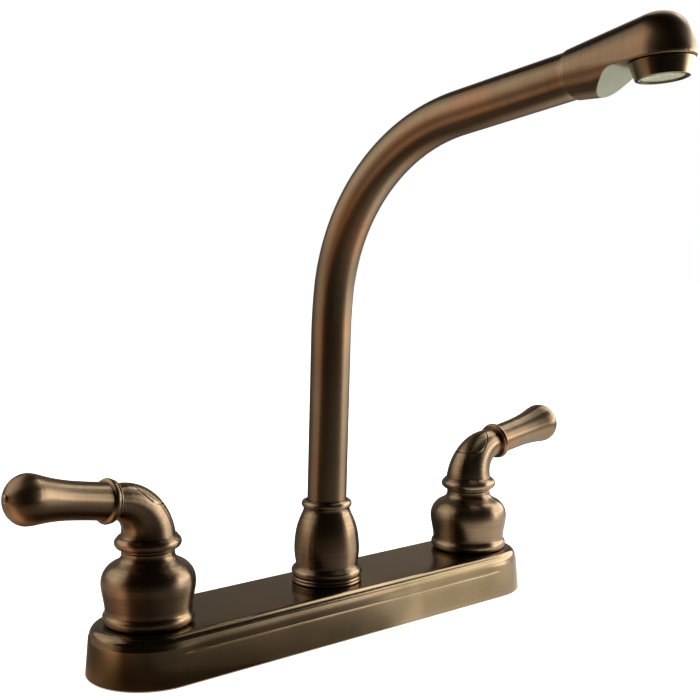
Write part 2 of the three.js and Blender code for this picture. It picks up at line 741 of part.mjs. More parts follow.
function headOutside() {
  const points = [];
  const section = (along, rise, upright, sideways) => {
    for (let i = 0; i < SHOWN_FACETS; i++) {
      const angle = (2 * Math.PI * i) / SHOWN_FACETS;
      const up = upright * Math.sin(angle);
      points.push(inPlane(
        tubeEnd.ahead + along * Math.cos(rise) - up * Math.sin(rise),
        tubeEnd.height + along * Math.sin(rise) + up * Math.cos(rise),
        sideways * Math.cos(angle)));
    }
  };
  const narrow = head.sleeve - head.sleeveRound;
  section(GAP, tubeRise, narrow, narrow);
  section(GAP + 2 * head.sleeveRound, tubeRise, head.sleeve, head.sleeve);
  section(head.lowerLip, radians(head.rise), head.sleeve + head.lowerLip * head.flare,
    head.sleeve + head.lowerLip * head.sideFlare);
  const lean = radians(outlet.lean);
  for (const share of [0, 15, 30, 45, 58, 70, 80].map(radians)) {
    const radius = dome.radius * Math.cos(share) ** dome.fullness;
    const up = dome.height * Math.sin(share);
    for (let i = 0; i < SHOWN_FACETS; i++) {
      const angle = (2 * Math.PI * i) / SHOWN_FACETS;
      const ahead = radius * Math.sin(angle);
      points.push(inPlane(
        outletAt.ahead + ahead * Math.cos(lean) - up * Math.sin(lean),
        outletAt.height + ahead * Math.sin(lean) + up * Math.cos(lean),
        radius * Math.cos(angle)));
    }
  }
  return new ConvexGeometry(points);
}

// The space cut out from under the head: a flat ceiling round the aerator and a sloping wall.
function scoopTool() {
  const far = 60;
  const slope = radians(scoop.wallSlope);
  const onWall = (along) => [
    -scoop.wallBehind - along * Math.cos(slope), -scoop.ceiling - along * Math.sin(slope),
  ];
  const shape = new THREE.Shape();
  shape.moveTo(far, -scoop.ceiling);
  shape.lineTo(scoop.round - scoop.wallBehind, -scoop.ceiling);
  shape.quadraticCurveTo(-scoop.wallBehind, -scoop.ceiling, ...onWall(scoop.round));
  shape.lineTo(...onWall(far));
  shape.lineTo(far, -far);
  const slab = new THREE.ExtrudeGeometry(shape, { depth: far, bevelEnabled: false, curveSegments: 4 });
  slab.translate(0, 0, -far / 2).rotateX(Math.PI / 2).rotateZ(-Math.PI / 2);
  return atOutlet(slab);
}

function spoutHead() {
  const spigot = tubeInside - GAP;
  return cut(
    join(headOutside(), aim(bar(spigot, -head.tail, 3, SHOWN_FACETS), tubeRise)),
    scoopTool(),
    atOutlet(bar(aerator.thread + GAP, -aerator.height, aerator.seat, SHOWN_FACETS)),
    aim(bar(bushing.bore, -head.tail - 1, 3), tubeRise),
    aim(bar(passage.radius, 0, passage.length), radians(passage.rise)),
  );
}

const shellFoot = -scoop.ceiling - GAP - aerator.height;

function aeratorShell() {
  const shoulderTop = -scoop.ceiling - GAP;
  const lipTop = shellFoot + aerator.lip;
  return atOutlet(revolve([
    [aerator.mouth, shellFoot + 0.4], [aerator.mouth + 0.4, shellFoot],
    [aerator.rim - 0.4, shellFoot], [aerator.rim, shellFoot + 0.5],
    [aerator.shoulder, shoulderTop], [aerator.thread, shoulderTop],
    [aerator.thread, aerator.threadHeight], [aerator.bore, aerator.threadHeight],
    [aerator.bore, lipTop], [aerator.mouth, lipTop],
  ], SHOWN_FACETS));
}

function aeratorInsertShape() {
  const foot = shellFoot + aerator.lip + GAP;
  const top = aerator.threadHeight;
  const jets = Array.from({ length: aeratorJets.count }, (_, i) =>
    bar(aeratorJets.radius, foot - 1, top + 1, 6)
      .translate(aeratorJets.circle, 0, 0)
      .rotateZ((2 * Math.PI * i) / aeratorJets.count));
  return atOutlet(cut(bar(aerator.bore - GAP, foot, top, SHOWN_FACETS), ...jets));
}

function aeratorWasherShape() {
  const foot = aerator.threadHeight + GAP;
  return atOutlet(ring(aeratorWasher.inner, aerator.thread, foot, foot + aeratorWasher.thickness));
}

piece('spout_tube', spoutTube(), bronze, spout);
piece('spout_bushing', spoutBushing(), brass, spout);
piece('spout_o_ring_upper', spoutSeal(bushingGrooves.upper), rubber, spout);
piece('spout_o_ring_lower', spoutSeal(bushingGrooves.lower), rubber, spout);
piece('spout_head', spoutHead(), bronze, spout);
piece('aerator_shell', aeratorShell(), darkBronze, spout);
piece('aerator_insert', aeratorInsertShape(), palePlastic, spout);
piece('aerator_washer', aeratorWasherShape(), rubber, spout);

export default faucet;
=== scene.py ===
"""Looks of a two handle kitchen faucet in brushed dark bronze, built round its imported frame.

Outlines are drawn in millimetres, as on a workshop drawing, and every finished mesh is in metres.
A turned piece is spun upright on its own axis, and is bent or laid in its place afterwards.
"""

import math

import bmesh
import bpy
from mathutils import Matrix, Vector, geometry


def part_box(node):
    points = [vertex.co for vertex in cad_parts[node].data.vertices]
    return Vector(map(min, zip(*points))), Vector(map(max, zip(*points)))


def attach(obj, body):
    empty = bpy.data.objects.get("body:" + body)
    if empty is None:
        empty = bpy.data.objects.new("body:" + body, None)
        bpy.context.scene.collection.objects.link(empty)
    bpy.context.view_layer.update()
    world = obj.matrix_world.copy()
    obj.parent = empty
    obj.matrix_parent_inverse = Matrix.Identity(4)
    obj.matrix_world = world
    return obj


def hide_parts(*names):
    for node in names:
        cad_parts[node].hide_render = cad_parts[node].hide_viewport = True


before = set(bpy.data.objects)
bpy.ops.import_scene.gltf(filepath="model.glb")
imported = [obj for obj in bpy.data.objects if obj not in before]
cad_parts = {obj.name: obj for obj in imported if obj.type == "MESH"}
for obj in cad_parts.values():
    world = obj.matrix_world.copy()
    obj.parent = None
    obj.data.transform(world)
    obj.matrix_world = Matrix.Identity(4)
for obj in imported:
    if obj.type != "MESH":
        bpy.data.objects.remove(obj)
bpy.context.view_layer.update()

bl_info = {
    "name": "Two handle kitchen faucet",
    "version": (1, 0, 0),
    "blender": (4, 5, 0),
    "location": "3D View > Sidebar > Faucet",
    "description": "Builds the finished surfaces of a deck-mounted kitchen faucet",
    "category": "Add Mesh",
}

MM = 0.001
GAP = 0.3  # clearance between neighbouring pieces


def node_mm(node, corner, axis):
    """One coordinate of a frame node's box, in millimetres."""
    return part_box(node)[corner][axis] / MM


# Places that come from the frame.
COVER_TOP = node_mm("deck_cover", 1, 2)
COVER_HALF_LENGTH = node_mm("deck_cover", 1, 0)
COVER_HALF_WIDTH = node_mm("deck_cover", 1, 1)
BELL_FOOT = node_mm("hot_bell", 0, 2)
BELL_TOP = node_mm("hot_bell", 1, 2)
HANDLE_X = {name: (node_mm(f"{name}_bell", 0, 0) + node_mm(f"{name}_bell", 1, 0)) / 2
            for name in ("hot", "cold")}
SHANK_FOOT = node_mm("hot_valve_body", 0, 2)
COLLAR_TOP = node_mm("spout_collar", 1, 2)

VALVE_RADIUS = 14.0  # of each valve body, where it comes up through the cover
POST_BORE = 12.9  # radius of the opening round the post, in the cover and the collar
LEVER_TURN = {"hot": 186.5, "cold": 0.0}  # degrees from +X at rest
SPOUT_TURN = 5.4  # degrees about +Z, from straight ahead towards the cold side


# ---------------------------------------------------------------------- what a user may change

def millimetres(name, description, default):
    return bpy.props.FloatProperty(
        name=name, description=description, default=default * MM, min=0.0, subtype="DISTANCE")


def colour(name, description, default):
    return bpy.props.FloatVectorProperty(
        name=name, description=description, default=default, size=3, min=0.0, max=1.0,
        subtype="COLOR")


def share(name, description, default):
    return bpy.props.FloatProperty(
        name=name, description=description, default=default, min=0.0, max=1.0, subtype="FACTOR")


def strength(name, description, default):
    return bpy.props.FloatProperty(name=name, description=description, default=default, min=0.0)


class FaucetSizes(bpy.types.PropertyGroup):
    """Sizes of the visible detail."""

    round_steps: bpy.props.IntProperty(
        name="Round steps", description="Facets round a turned piece", default=96, min=24)
    cover_fillet: millimetres("Cover fillet", "Round along the cover's top edge", 4.4)
    cover_draft: millimetres("Cover draft", "How far the cover's sides lean in", 1.9)
    cove_depth: millimetres("Cove depth", "Depth of the long cove in the cover's sides", 0.65)
    cove_foot: millimetres("Cove foot", "Height of the ridge under the cove", 13.7)
    seam: millimetres("Seam", "Width of the seam round each index cap", 0.6)
    head_voxel: millimetres("Head voxel", "Grain of the spout head's mesh", 0.55)
    thread_pitch: millimetres("Thread pitch", "Pitch of the shank threads", 1.81)


class FaucetFinish(bpy.types.PropertyGroup):
    """Colours and textures of the finishes."""

    bronze: colour("Bronze", "Brushed bronze where it is worn bright", (0.30, 0.221, 0.145))
    patina: colour("Patina", "Dark patina in the hollows and streaks", (0.163, 0.112, 0.07))
    copper: colour("Copper", "Copper that shows through the patina", (0.34, 0.165, 0.08))
    olive: colour("Olive bronze", "The cover and the aerator", (0.218, 0.168, 0.101))
    scooped: colour("Scooped", "The pale underside of the spout head", (0.40, 0.41, 0.31))
    bronze_roughness: share("Bronze roughness", "Roughness across the brushing", 0.28)
    bronze_grain: share("Bronze grain", "How far highlights run across the brushing", 0.82)
    line_pitch: millimetres("Brush line pitch", "Distance between brush lines", 0.34)
    brass: colour("Brass", "Bodies, nuts and stems", (0.46, 0.29, 0.10))
    copper_tube: colour("Copper tube", "The two cross tubes", (0.55, 0.24, 0.13))
    rubber: colour("Rubber", "Seals and the gasket", (0.022, 0.022, 0.022))
    black_plastic: colour("Black plastic", "Base plate and slip ring", (0.032, 0.032, 0.036))
    pale_plastic: colour("Pale plastic", "The aerator's insert", (0.74, 0.75, 0.58))


class FaucetStudio(bpy.types.PropertyGroup):
    """Light and ground."""

    ambient: strength("Ambient", "Strength of the plain surround", 0.55)
    right_box: strength("Right softbox", "Radiance of the light on the right", 3.65)
    left_box: strength("Left softbox", "Radiance of the light on the left", 0.85)
    top_box: strength("Top softbox", "Radiance of the light overhead", 3.4)
    left_tint: colour("Left tint", "Colour of the light on the left", (1.0, 0.96, 0.86))
    floor_lift: share("Floor lift", "How much of the floor's white doesn't take shadow", 0.8)


def sizes():
    return bpy.context.scene.faucet_sizes


def look():
    return bpy.context.scene.faucet_finish


# ------------------------------------------------------------------------------- outlines

def arc(centre_r, centre_z, radius, start, end, steps):
    """Points of a circular arc, from start to end degrees."""
    angles = [math.radians(start + (end - start) * i / steps) for i in range(steps + 1)]
    return [(centre_r + radius * math.cos(a), centre_z + radius * math.sin(a)) for a in angles]


def flow(points, steps=5):
    """A smooth line through a few points, with that many steps between two of them."""
    knots = [Vector(p) for p in points]
    ends = [knots[0] * 2 - knots[1], *knots, knots[-1] * 2 - knots[-2]]
    line = [tuple(knots[0])]
    for a, b, c, d in zip(ends, ends[1:], ends[2:], ends[3:]):
        for i in range(1, steps + 1):
            t = i / steps
            p = 0.5 * (2 * b + (c - a) * t + (2 * a - 5 * b + 4 * c - d) * t * t
                       + (3 * b - a - 3 * c + d) * t ** 3)
            line.append(tuple(p))
    return line


def eased(outline, ease, steps=3):
    """The closed outline with each corner rounded over that distance."""
    line = []
    for i in range(len(outline)):
        here, before, after = (Vector(outline[k % len(outline)]) for k in (i, i - 1, i + 1))
        back = (before - here).normalized() * min(ease, (before - here).length * 0.45)
        on = (after - here).normalized() * min(ease, (after - here).length * 0.45)
        for k in range(steps + 1):
            t = k / steps
            line.append(tuple(here + back * (1 - t) ** 2 + on * t ** 2))
    return line


def blend(low, high, value):
    """0 below low, 1 above high, and smooth between them."""
    t = min(1.0, max(0.0, (value - low) / (high - low)))
    return t * t * (3 - 2 * t)


# -------------------------------------------------------------------------------- meshes

SLIVER = 2e-3  # edges and faces thinner than this are merged away
SHARP = math.radians(38)  # an edge that turns further than this isn't smoothed over


def spun(outline, closed=True, steps=None):
    """An outline of (radius, height) points, spun about Z into one closed skin."""
    bm = bmesh.new()
    verts = [bm.verts.new((r, 0.0, z)) for r, z in outline]
    edges = [bm.edges.new(pair) for pair in zip(verts, verts[1:])]
    if closed:
        edges.append(bm.edges.new((verts[-1], verts[0])))
    bmesh.ops.spin(bm, geom=verts + edges, cent=(0, 0, 0), axis=(0, 0, 1), angle=2 * math.pi,
                   steps=steps or sizes().round_steps, use_merge=True)
    bmesh.ops.remove_doubles(bm, verts=bm.verts, dist=1e-4)
    bmesh.ops.recalc_face_normals(bm, faces=bm.faces)
    return bm


def hexagon(corner, foot, top, chamfer):
    """A six-sided bar along Z with its corners turned down."""
    bm = bmesh.new()
    bmesh.ops.create_cone(bm, cap_ends=True, segments=6, radius1=corner, radius2=corner,
                          depth=top - foot)
    bmesh.ops.translate(bm, verts=bm.verts, vec=(0, 0, (foot + top) / 2))
    turned_down = spun([(0, foot), (corner - chamfer, foot), (corner + 0.01, foot + chamfer / 2),
                        (corner + 0.01, top - chamfer / 2), (corner - chamfer, top), (0, top)],
                       closed=False)
    return carved(bm, [("INTERSECT", turned_down)])


def bar(radius, foot, top, steps=None):
    return spun([(0, foot), (radius, foot), (radius, top), (0, top)], closed=False, steps=steps)


def placed(bm, matrix):
    bmesh.ops.transform(bm, matrix=matrix, verts=bm.verts)
    return bm


def at_valve(name):
    """Where a handle's valve stands, for a piece made about the middle."""
    return Matrix.Translation((HANDLE_X[name], 0, 0))


def corners(made):
    """The corners among what an operator made."""
    return [v for v in made if isinstance(v, bmesh.types.BMVert)]


def extruded(bm, ring):
    """Extrudes a ring of edges on the spot, and gives the new corners and the new ring."""
    made = bmesh.ops.extrude_edge_only(bm, edges=ring)["geom"]
    fresh = set(corners(made))
    return fresh, [e for e in made
                   if isinstance(e, bmesh.types.BMEdge) and fresh.issuperset(e.verts)]


def shown(bm, name):
    mesh = bpy.data.meshes.new(name)
    bm.to_mesh(mesh)
    bm.free()
    piece = bpy.data.objects.new(name, mesh)
    bpy.context.scene.collection.objects.link(piece)
    return piece


def discard(piece):
    mesh = piece.data
    bpy.data.objects.remove(piece)
    bpy.data.meshes.remove(mesh)


def worked(blank):
    """The skin that a blank's modifiers make of it. The blank is used up."""
    graph = bpy.context.evaluated_depsgraph_get()
    mesh = bpy.data.meshes.new_from_object(blank.evaluated_get(graph))
    bm = bmesh.new()
    bm.from_mesh(mesh)
    bpy.data.meshes.remove(mesh)
    discard(blank)
    return bm


def merged(bm):
    """The skin without the slivers that a cut or a bevel leaves."""
    bmesh.ops.remove_doubles(bm, verts=bm.verts, dist=SLIVER)
    bmesh.ops.dissolve_degenerate(bm, edges=bm.edges, dist=SLIVER)
    return bm


def carved(bm, cuts):
    """The skin after each (operation, tool) of the list."""
    body = shown(bm, "blank")
    tools = []
    for operation, tool in cuts:
        tools.append(shown(tool, "tool"))
        modifier = body.modifiers.new("cut", "BOOLEAN")
        modifier.operation = operation
        modifier.solver = "EXACT"
        modifier.object = tools[-1]
    result = worked(body)
    for tool in tools:
        discard(tool)
    return merged(result)


def mark_grain(bm, where):
    """Stores where each corner lay on the lathe, and a map whose first axis crosses the brushing.

    where(point) gives the place on the lathe, the distance across the brushing and the turn.
    """
    made = bm.loops.layers.float_vector.new("made")
    grain = bm.loops.layers.uv.new("grain")
    for face in bm.faces:
        rows = [where(corner.vert.co) for corner in face.loops]
        turns = [row[2] for row in rows]
        if max(turns) - min(turns) > 0.5:
            turns = [t + 1 if t < 0.5 else t for t in turns]
        for corner, (place, across, _), turn in zip(face.loops, rows, turns):
            corner[made] = place
            corner[grain].uv = (across * 0.01, turn)
    return bm


def round_grain(point):
    """Brush lines that run round the Z axis."""
    turn = math.atan2(point.y, point.x) / (2 * math.pi) % 1.0
    return point, point.z + 0.3 * math.hypot(point.x, point.y), turn


def turned(outline, closed=True):
    return mark_grain(spun(outline, closed), round_grain)


def mark_wear(bm):
    """Stores how convex each point is, for wear along the edges: 0 in hollows, 1 on sharp rims."""
    worn = bm.verts.layers.float.new("worn")
    bm.normal_update()
    for vert in bm.verts:
        bends = []
        for edge in vert.link_edges:
            other = edge.other_vert(vert)
            run = other.co - vert.co
            length = max(run.length, 0.05)
            bends.append((other.normal - vert.normal).dot(run) / length ** 2)
        strongest = max(bends, key=abs) if bends else 0.0
        vert[worn] = min(1.0, max(0.0, 0.4 + 0.6 * strongest))
    return bm


def finish_piece(name, bm, finish, body, slot, *nodes):
    """Turns a skin in millimetres into a finished piece that rides on a body."""
    mark_wear(bm)
    bmesh.ops.scale(bm, verts=bm.verts, vec=(MM, MM, MM))
    for face in bm.faces:
        face.smooth = True
    for edge in bm.edges:
        edge.smooth = edge.calc_face_angle(0.0) < SHARP
    piece = shown(bm, name)
    piece.data.materials.append(finishes()[finish])
    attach(piece, body)
    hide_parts(*nodes)
    return piece


# ------------------------------------------------------------------------------- finishes

PREFIX = "faucet "  # keeps the names of the materials apart from the frame's


class NodeTree:
    """The nodes of a finish or of the surround, added and linked one call at a time."""

    def __init__(self, tree):
        self.tree = tree

    def node(self, kind, inputs=None, **settings):
        node = self.tree.nodes.new(kind)
        for key, value in settings.items():
            setattr(node, key, value)
        self.feed(node, inputs or {})
        return node

    def feed(self, node, inputs):
        for socket, value in inputs.items():
            if isinstance(value, bpy.types.NodeSocket):
                self.tree.links.new(value, node.inputs[socket])
            else:
                node.inputs[socket].default_value = value

    def attribute(self, name, output="Vector"):
        return self.node("ShaderNodeAttribute", attribute_name=name).outputs[output]

    def noise(self, vector, scale, detail=2.0, roughness=0.5):
        """Noise whose scale along each axis is in features a metre."""
        spread = self.node("ShaderNodeMapping", {"Vector": vector, "Scale": scale})
        return self.node("ShaderNodeTexNoise", {
            "Vector": spread.outputs[0], "Scale": 1.0, "Detail": detail, "Roughness": roughness,
        }).outputs["Fac"]

    def spread(self, value, low, high, to_low=0.0, to_high=1.0):
        return self.node("ShaderNodeMapRange", {
            0: value, 1: low, 2: high, 3: to_low, 4: to_high}).outputs[0]

    def mix(self, factor, first, second):
        return self.node("ShaderNodeMix", {0: factor, 6: first, 7: second},
                         data_type="RGBA").outputs[2]

    def sum_up(self, operation, first, second):
        return self.node("ShaderNodeMath", {0: first, 1: second}, operation=operation).outputs[0]

    def add(self, first, second, part=1.0):
        """first + second x part."""
        return self.sum_up("ADD", first, self.sum_up("MULTIPLY", second, part))

    def seen_directly(self):
        """1 for what the camera, a reflection or a refraction sees."""
        rays = self.node("ShaderNodeLightPath").outputs
        seen = self.sum_up("MAXIMUM", rays["Is Camera Ray"], rays["Is Glossy Ray"])
        return self.sum_up("MAXIMUM", seen, rays["Is Transmission Ray"])


class Finish(NodeTree):
    """A material and its main shader."""

    def __init__(self, name):
        self.material = bpy.data.materials.new(PREFIX + name)
        self.material.use_nodes = True
        super().__init__(self.material.node_tree)
        self.shader = self.tree.nodes["Principled BSDF"]

    def bump(self, height, strength, distance):
        node = self.node("ShaderNodeBump", {
            "Height": height, "Strength": strength, "Distance": distance * MM})
        self.feed(self.shader, {"Normal": node.outputs[0]})


def opaque(rgb):
    return (*rgb, 1.0)


WHITE = opaque((1.0, 1.0, 1.0))


def brushed_bronze(name, bright, dark, fleck, grain, depth, roughness, spread):
    """Bronze with brush lines, dark patina, wear on its rims and copper showing through.

    grain is how many brush lines a metre cross each axis of the lathe, depth how strong they are,
    and spread how far highlights run across them.
    """
    finish = Finish(name)
    made = finish.attribute("made")
    lines = finish.noise(made, [g * MM for g in grain], detail=3.0, roughness=0.65)
    bands = finish.noise(made, [g * MM * 0.16 for g in grain], detail=2.0)
    cloud = finish.noise(made, (0.045, 0.045, 0.03), detail=3.0)
    worn = finish.attribute("worn", "Fac")
    tone = finish.spread(lines, 0.3, 0.7, 0.5 - 0.5 * depth, 0.5 + 0.5 * depth)
    tone = finish.add(tone, finish.spread(bands, 0.3, 0.7, -0.5, 0.5), 0.5 * depth)
    tone = finish.add(tone, finish.spread(cloud, 0.3, 0.7, -0.2, 0.2))
    tone = finish.add(tone, finish.spread(worn, 0.42, 0.75, -0.06, 0.6))
    patches = finish.noise(made, (0.03, 0.03, 0.022), detail=1.0)
    copper = finish.spread(patches, 0.5, 0.68, 0.0, 0.6)
    base = finish.mix(tone, opaque(dark), opaque(bright))
    finish.feed(finish.shader, {
        "Base Color": finish.mix(copper, base, opaque(fleck)),
        "Metallic": 1.0,
        "Roughness": finish.spread(lines, 0.3, 0.7, roughness + 0.02, roughness - 0.02),
        "Anisotropic": spread,
        "Tangent": finish.node("ShaderNodeTangent", direction_type="UV_MAP",
                               uv_map="grain").outputs[0],
    })
    finish.bump(lines, 0.03 * depth, 0.05)


def cast_metal(name, rgb, roughness, metallic=1.0, tone=0.25, scale=320.0, bump=0.06):
    """Machined or moulded stock: a slight change of tone and a fine surface texture."""
    finish = Finish(name)
    place = finish.node("ShaderNodeTexCoord").outputs["Object"]
    fine = finish.noise(place, (scale, scale, scale * 3), detail=3.0)
    broad = finish.noise(place, (scale / 9,) * 3, detail=2.0)
    shade = [c * (1 - tone) for c in rgb]
    finish.feed(finish.shader, {
        "Base Color": finish.mix(finish.spread(broad, 0.3, 0.7), opaque(shade), opaque(rgb)),
        "Metallic": metallic,
        "Roughness": finish.spread(fine, 0.3, 0.7, roughness - 0.05, roughness + 0.06),
    })
    finish.bump(fine, bump, 0.08)


def make_finishes():
    """Makes the material of each finish."""
    chosen = look()
    lines = 1.0 / chosen.line_pitch
    rough, spread = chosen.bronze_roughness, chosen.bronze_grain
    bronze = (chosen.bronze, chosen.patina, chosen.copper)
    olive = (chosen.olive, [c * 0.72 for c in chosen.olive], chosen.bronze)
    brushed_bronze("bronze", *bronze, (40.0, 40.0, lines), 0.42, rough, spread)
    brushed_bronze("drawn bronze", *bronze, (60.0, 60.0, lines), 0.2, rough * 1.15, spread * 0.85)
    brushed_bronze("olive", *olive, (14.0, lines * 0.8, lines * 0.8), 0.4, rough * 0.65,
                   spread * 0.45)
    cast_metal("scooped", chosen.scooped, 0.45, 0.25, tone=0.1, bump=0.01)
    cast_metal("brass", chosen.brass, 0.34)
    cast_metal("copper tube", chosen.copper_tube, 0.3, scale=180.0)
    cast_metal("rubber", chosen.rubber, 0.72, 0.0, bump=0.15)
    cast_metal("black plastic", chosen.black_plastic, 0.48, 0.0, bump=0.12)
    cast_metal("pale plastic", chosen.pale_plastic, 0.42, 0.0, tone=0.06, bump=0.02)


def finishes():
    """Every finish by its name. Steel pieces, all out of sight, take the frame's own steel."""
    if PREFIX + "bronze" not in bpy.data.materials:
        make_finishes()
    made = {m.name.removeprefix(PREFIX): m for m in bpy.data.materials if m.name.startswith(PREFIX)}
    return {**made, "steel": bpy.data.materials["steel"]}


# --------------------------------------------------------------------------------- pieces

class FAUCET_OT_cover(bpy.types.Operator):
    """Make the long shell that everything stands on"""

    bl_idname = "faucet.cover"
    bl_label = "Deck cover"

    wall, inner_chamfer, foot_chamfer = 2.0, 1.5, 0.4
    side_levels = (0.5, 3.0, 7.0, 10.0, 13.2, 13.6, 13.75, 13.9, 14.05, 14.2, 14.4, 15.0, 15.6,
                   16.2, 17.0)
    lengthwise_cuts, fillet_steps = 60, 12
    fade = (86.0, 100.0)  # the cove runs out between these distances from the middle
    lip, ridge = 0.1, 0.5  # the cove sets in that far below its foot, and is full that far above
    fall = 1.2  # how fast the cove fades upwards

    def ring(self, bm, ring, inset, height):
        """Extrudes a ring of the cover's outline to another inset and height."""
        fresh, ring = extruded(bm, ring)
        for vert in fresh:
            self.stand(vert, inset, height)
        return ring

    def stand(self, vert, inset, height):
        middle = Vector((max(-self.straight, min(self.straight, vert.co.x)), 0, 0))
        out = Vector((vert.co.x, vert.co.y, 0)) - middle
        vert.co = middle + out.normalized() * (COVER_HALF_WIDTH - inset)
        vert.co.z = height

    def where(self, point):
        """Place along the outline, distance from its middle line and height."""
        side = math.copysign(1.0, point.x)
        middle = max(-self.straight, min(self.straight, point.x))
        out = math.hypot(point.x - middle, point.y)
        past = math.atan2(abs(point.x - middle), abs(point.y)) if out > 1e-6 else 0.0
        along = middle + side * COVER_HALF_WIDTH * past
        return Vector((along, out, point.z)), point.z - out, (along + 200.0) * 0.001

    def execute(self, context):
        fillet, draft = sizes().cover_fillet / MM, sizes().cover_draft / MM
        self.straight = COVER_HALF_LENGTH - COVER_HALF_WIDTH
        bm = bmesh.new()
        steps = sizes().round_steps
        bmesh.ops.create_circle(bm, segments=steps, radius=COVER_HALF_WIDTH,
                                matrix=Matrix.Rotation(math.pi / steps, 4, "Z"))
        for vert in bm.verts:
            vert.co.x += math.copysign(self.straight, vert.co.x)
        long_edges = [e for e in bm.edges if e.calc_length() > self.straight]
        bmesh.ops.subdivide_edges(bm, edges=long_edges, cuts=self.lengthwise_cuts)
        ceiling = COVER_TOP - self.wall
        ring = list(bm.edges)
        for vert in bm.verts:
            self.stand(vert, draft + self.wall + self.inner_chamfer, ceiling)
        bmesh.ops.contextual_create(bm, geom=ring)
        levels = [(draft + self.wall, ceiling - self.inner_chamfer), (self.wall, self.foot_chamfer),
                  (self.wall - self.foot_chamfer, 0.0), (self.foot_chamfer, 0.0)]
        levels += [(draft * z / COVER_TOP, z) for z in self.side_levels]
        levels += [(draft + fillet - r, z) for r, z in
                   arc(0, COVER_TOP - fillet, fillet, 4, 90, self.fillet_steps)]
        for inset, height in levels:
            ring = self.ring(bm, ring, inset, height)
        bmesh.ops.contextual_create(bm, geom=ring)
        bmesh.ops.recalc_face_normals(bm, faces=bm.faces)
        self.cove(bm)
        mark_grain(bm, self.where)
        holes = [placed(bar(VALVE_RADIUS + GAP, -1, COVER_TOP + 1), at_valve(name))
                 for name in HANDLE_X]
        holes.append(bar(POST_BORE, -1, COVER_TOP + 1))
        bm = carved(bm, [("DIFFERENCE", hole) for hole in holes])
        finish_piece("cover_shell", bm, "olive", "base", "bronze", "deck_cover")
        return {"FINISHED"}

    def cove(self, bm):
        """Presses a long shallow cove into both long sides, over a soft ridge."""
        foot, depth = sizes().cove_foot / MM, sizes().cove_depth / MM
        low, full, top = foot - self.lip, foot + self.ridge, COVER_TOP - sizes().cover_fillet / MM
        for vert in bm.verts:
            x, y, z = vert.co
            outside = abs(y) > COVER_HALF_WIDTH - self.wall * 0.9
            if outside and z < top:
                run_out = 1 - blend(*self.fade, abs(x))
                part_up = min(1.0, max(0.0, (z - full) / (top - full)))
                press = blend(low, full, z) * (1 - part_up) ** self.fall
                vert.co.y -= math.copysign(depth * press * run_out, y)


BELL_OUTLINE = [
    (19.36, 30.0), (19.6, 31.5), (20.1, 34.5), (20.65, 37.5), (20.87, 40.2), (20.7, 42.0),
    (20.35, 43.5), (19.7, 45.0), (18.6, 46.6), (16.9, 48.2), (14.3, 49.6), (12.5, 50.9),
    (11.75, 52.6),
]


class FAUCET_OT_bells(bpy.types.Operator):
    """Turn the flared bell under each handle"""

    bl_idname = "faucet.bells"
    bl_label = "Bells"

    def execute(self, context):
        inside, neck = 18.4, 10.4
        outline = [
            (inside, BELL_FOOT + 0.2), (inside + 0.2, BELL_FOOT), (18.7, BELL_FOOT),
            *arc(17.45, 25.2, 3.0, -60, 40, 13), (19.44, 27.6), (19.32, 28.3),
            *flow(BELL_OUTLINE, 3),
            (11.8, BELL_TOP - 0.3), (11.5, BELL_TOP), (neck + 0.2, BELL_TOP),
            (neck, BELL_TOP - 0.2), (neck, 51.5), (14.6, 47.2), (inside, 42.0),
        ]
        for name in HANDLE_X:
            bm = placed(turned(outline), at_valve(name))
            finish_piece(f"{name}_bell_shell", bm, "bronze", "base", "bronze", f"{name}_bell")
        return {"FINISHED"}


# The middle line of a handle is upright, then bends over and runs on.
BEND_FOOT, BEND_RADIUS = 60.6, 17.6
HANDLE_RISE = 9.9  # degrees that the lever rises
HUB_BEAD_HEIGHT, HUB_LENGTH = 58.0, 31.8
BEND_ANGLE = math.pi / 2 - math.radians(HANDLE_RISE)
HUB_END = HUB_BEAD_HEIGHT + HUB_LENGTH
RING_WIRE = 1.7


def handle_line(z):
    """Where the middle line is at that length, and its heading as an angle from upright."""
    angle = min(BEND_ANGLE, max(0.0, (z - BEND_FOOT) / BEND_RADIUS))
    on = z - BEND_FOOT - BEND_RADIUS * angle
    return Vector((BEND_RADIUS * (1 - math.cos(angle)) + on * math.sin(angle), 0,
                   BEND_FOOT + BEND_RADIUS * math.sin(angle) + on * math.cos(angle))), angle


def bent(bm):
    """Bends an upright piece along a handle's middle line."""
    for vert in bm.verts:
        middle, angle = handle_line(vert.co.z)
        x, y = vert.co.x, vert.co.y
        vert.co = middle + Vector((x * math.cos(angle), y, -x * math.sin(angle)))
    bmesh.ops.recalc_face_normals(bm, faces=bm.faces)
    return bm


def handle_place(name):
    """Where a handle that points to +X from the origin goes at rest."""
    return at_valve(name) @ Matrix.Rotation(math.radians(LEVER_TURN[name]), 4, "Z")


